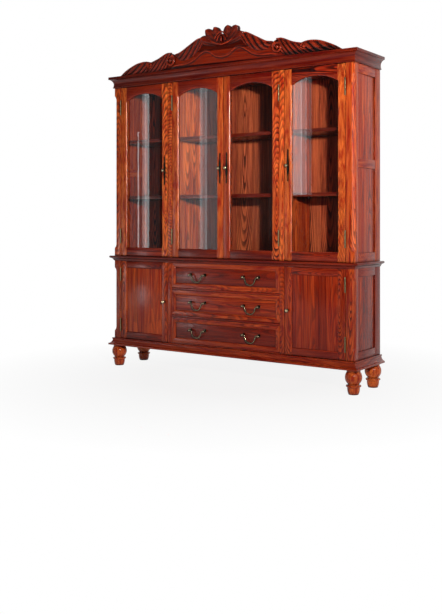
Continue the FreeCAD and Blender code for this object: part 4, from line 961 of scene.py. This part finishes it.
def make_lamps():
    """A small key lamp, the cards that the doors mirror, and a fill and a card on the right."""
    lamp("key", *KEY_PLACE, KEY_WATTS, KEY_TINT)
    for number, (x, z, width, height, watts) in enumerate(CARDS):
        lamp(f"card_{number}", (x, CARD_Y, z), (x + CARD_AIM, DOOR_Y, z), (width, height), CARD_SPREAD, watts,
             CARD_TINT, lights_up=False)
    lamp("right_fill", *RIGHT_PLACE, RIGHT_FILL_WATTS, RIGHT_TINT)
    lamp("right_card", *RIGHT_PLACE, RIGHT_CARD_WATTS, RIGHT_TINT, lights_up=False)


def seen_directly(tree):
    """1 for rays seen straight, by mirror or through glass, and 0 for rays that carry soft light."""
    path = add(tree, "ShaderNodeLightPath").outputs
    total = maths(tree, "ADD", path["Is Camera Ray"], path["Is Glossy Ray"])
    total = maths(tree, "ADD", total, path["Is Transmission Ray"])
    undiffused = maths(tree, "LESS_THAN", path["Diffuse Depth"], 0.5)
    return maths(tree, "MULTIPLY", maths(tree, "MINIMUM", total, 1.0), undiffused)


def make_world():
    """White behind the case, a pale room in front that mirrors show dimmer, and soft light from behind."""
    world = bpy.data.worlds.new("studio")
    bpy.context.scene.world = world
    world.use_nodes = True
    tree = world.node_tree
    tree.nodes.clear()
    toward = add(tree, "ShaderNodeTexCoord").outputs["Generated"]
    side = add(tree, "ShaderNodeSeparateXYZ", Vector=toward).outputs["Y"]
    behind = maths(tree, "MULTIPLY_ADD", side, 0.5, 0.5)
    room = ramp(tree, behind, tuple(zip(ROOM_EDGES, (ROOM, 1.0))))
    dim_room = ramp(tree, behind, tuple(zip(ROOM_EDGES, (MIRRORED_ROOM, 1.0))))
    facing = vectors(tree, "DOT_PRODUCT", toward, DOORWAY_TOWARD).outputs["Value"]
    dim_room = blend(tree, ramp(tree, facing, DOORWAY_RIM), dim_room, grey(DOORWAY))
    straight = add(tree, "ShaderNodeLightPath").outputs["Is Camera Ray"]
    seen = blend(tree, straight, dim_room, room)
    strength = blend(tree, seen_directly(tree), ramp(tree, behind, SOFT_LIGHT), seen)
    background = add(tree, "ShaderNodeBackground", Color=strength, Strength=1.0)
    out = tree.nodes.new("ShaderNodeOutputWorld")
    tree.links.new(background.outputs[0], out.inputs[0])


def floor_material():
    """Pale grey that keeps the shadow near the case and fades to white further out."""
    made, tree, out = material("floor")
    place = add(tree, "ShaderNodeTexCoord").outputs["Object"]
    away = vectors(tree, "LENGTH", place).outputs["Value"]
    fade = ramp(tree, maths(tree, "DIVIDE", away, FADE_REACH), FADE)
    plain = add(tree, "ShaderNodeBsdfDiffuse", Color=grey(FLOOR_GREY))
    white = add(tree, "ShaderNodeEmission", Color=grey(1), Strength=1.0)
    share = maths(tree, "MULTIPLY", fade, seen_directly(tree))
    mixed = add(tree, "ShaderNodeMixShader", i0=share, i1=plain.outputs[0], i2=white.outputs[0])
    tree.links.new(mixed.outputs[0], out.inputs[0])
    return made


def make_floor():
    """A square of pale floor under the case."""
    corners = [(x * FLOOR_HALF, y * FLOOR_HALF, 0) for x, y in ((-1, -1), (1, -1), (1, 1), (-1, 1))]
    mesh = bpy.data.meshes.new("floor")
    mesh.from_pydata(corners, [], [(0, 1, 2, 3)])
    mesh.materials.append(floor_material())
    floor = bpy.data.objects.new("floor", mesh)
    bpy.context.scene.collection.objects.link(floor)


dress_all()
carve_crest()
make_camera()
make_lamps()
make_world()
make_floor()
bpy.context.scene.view_settings.view_transform = "Standard"
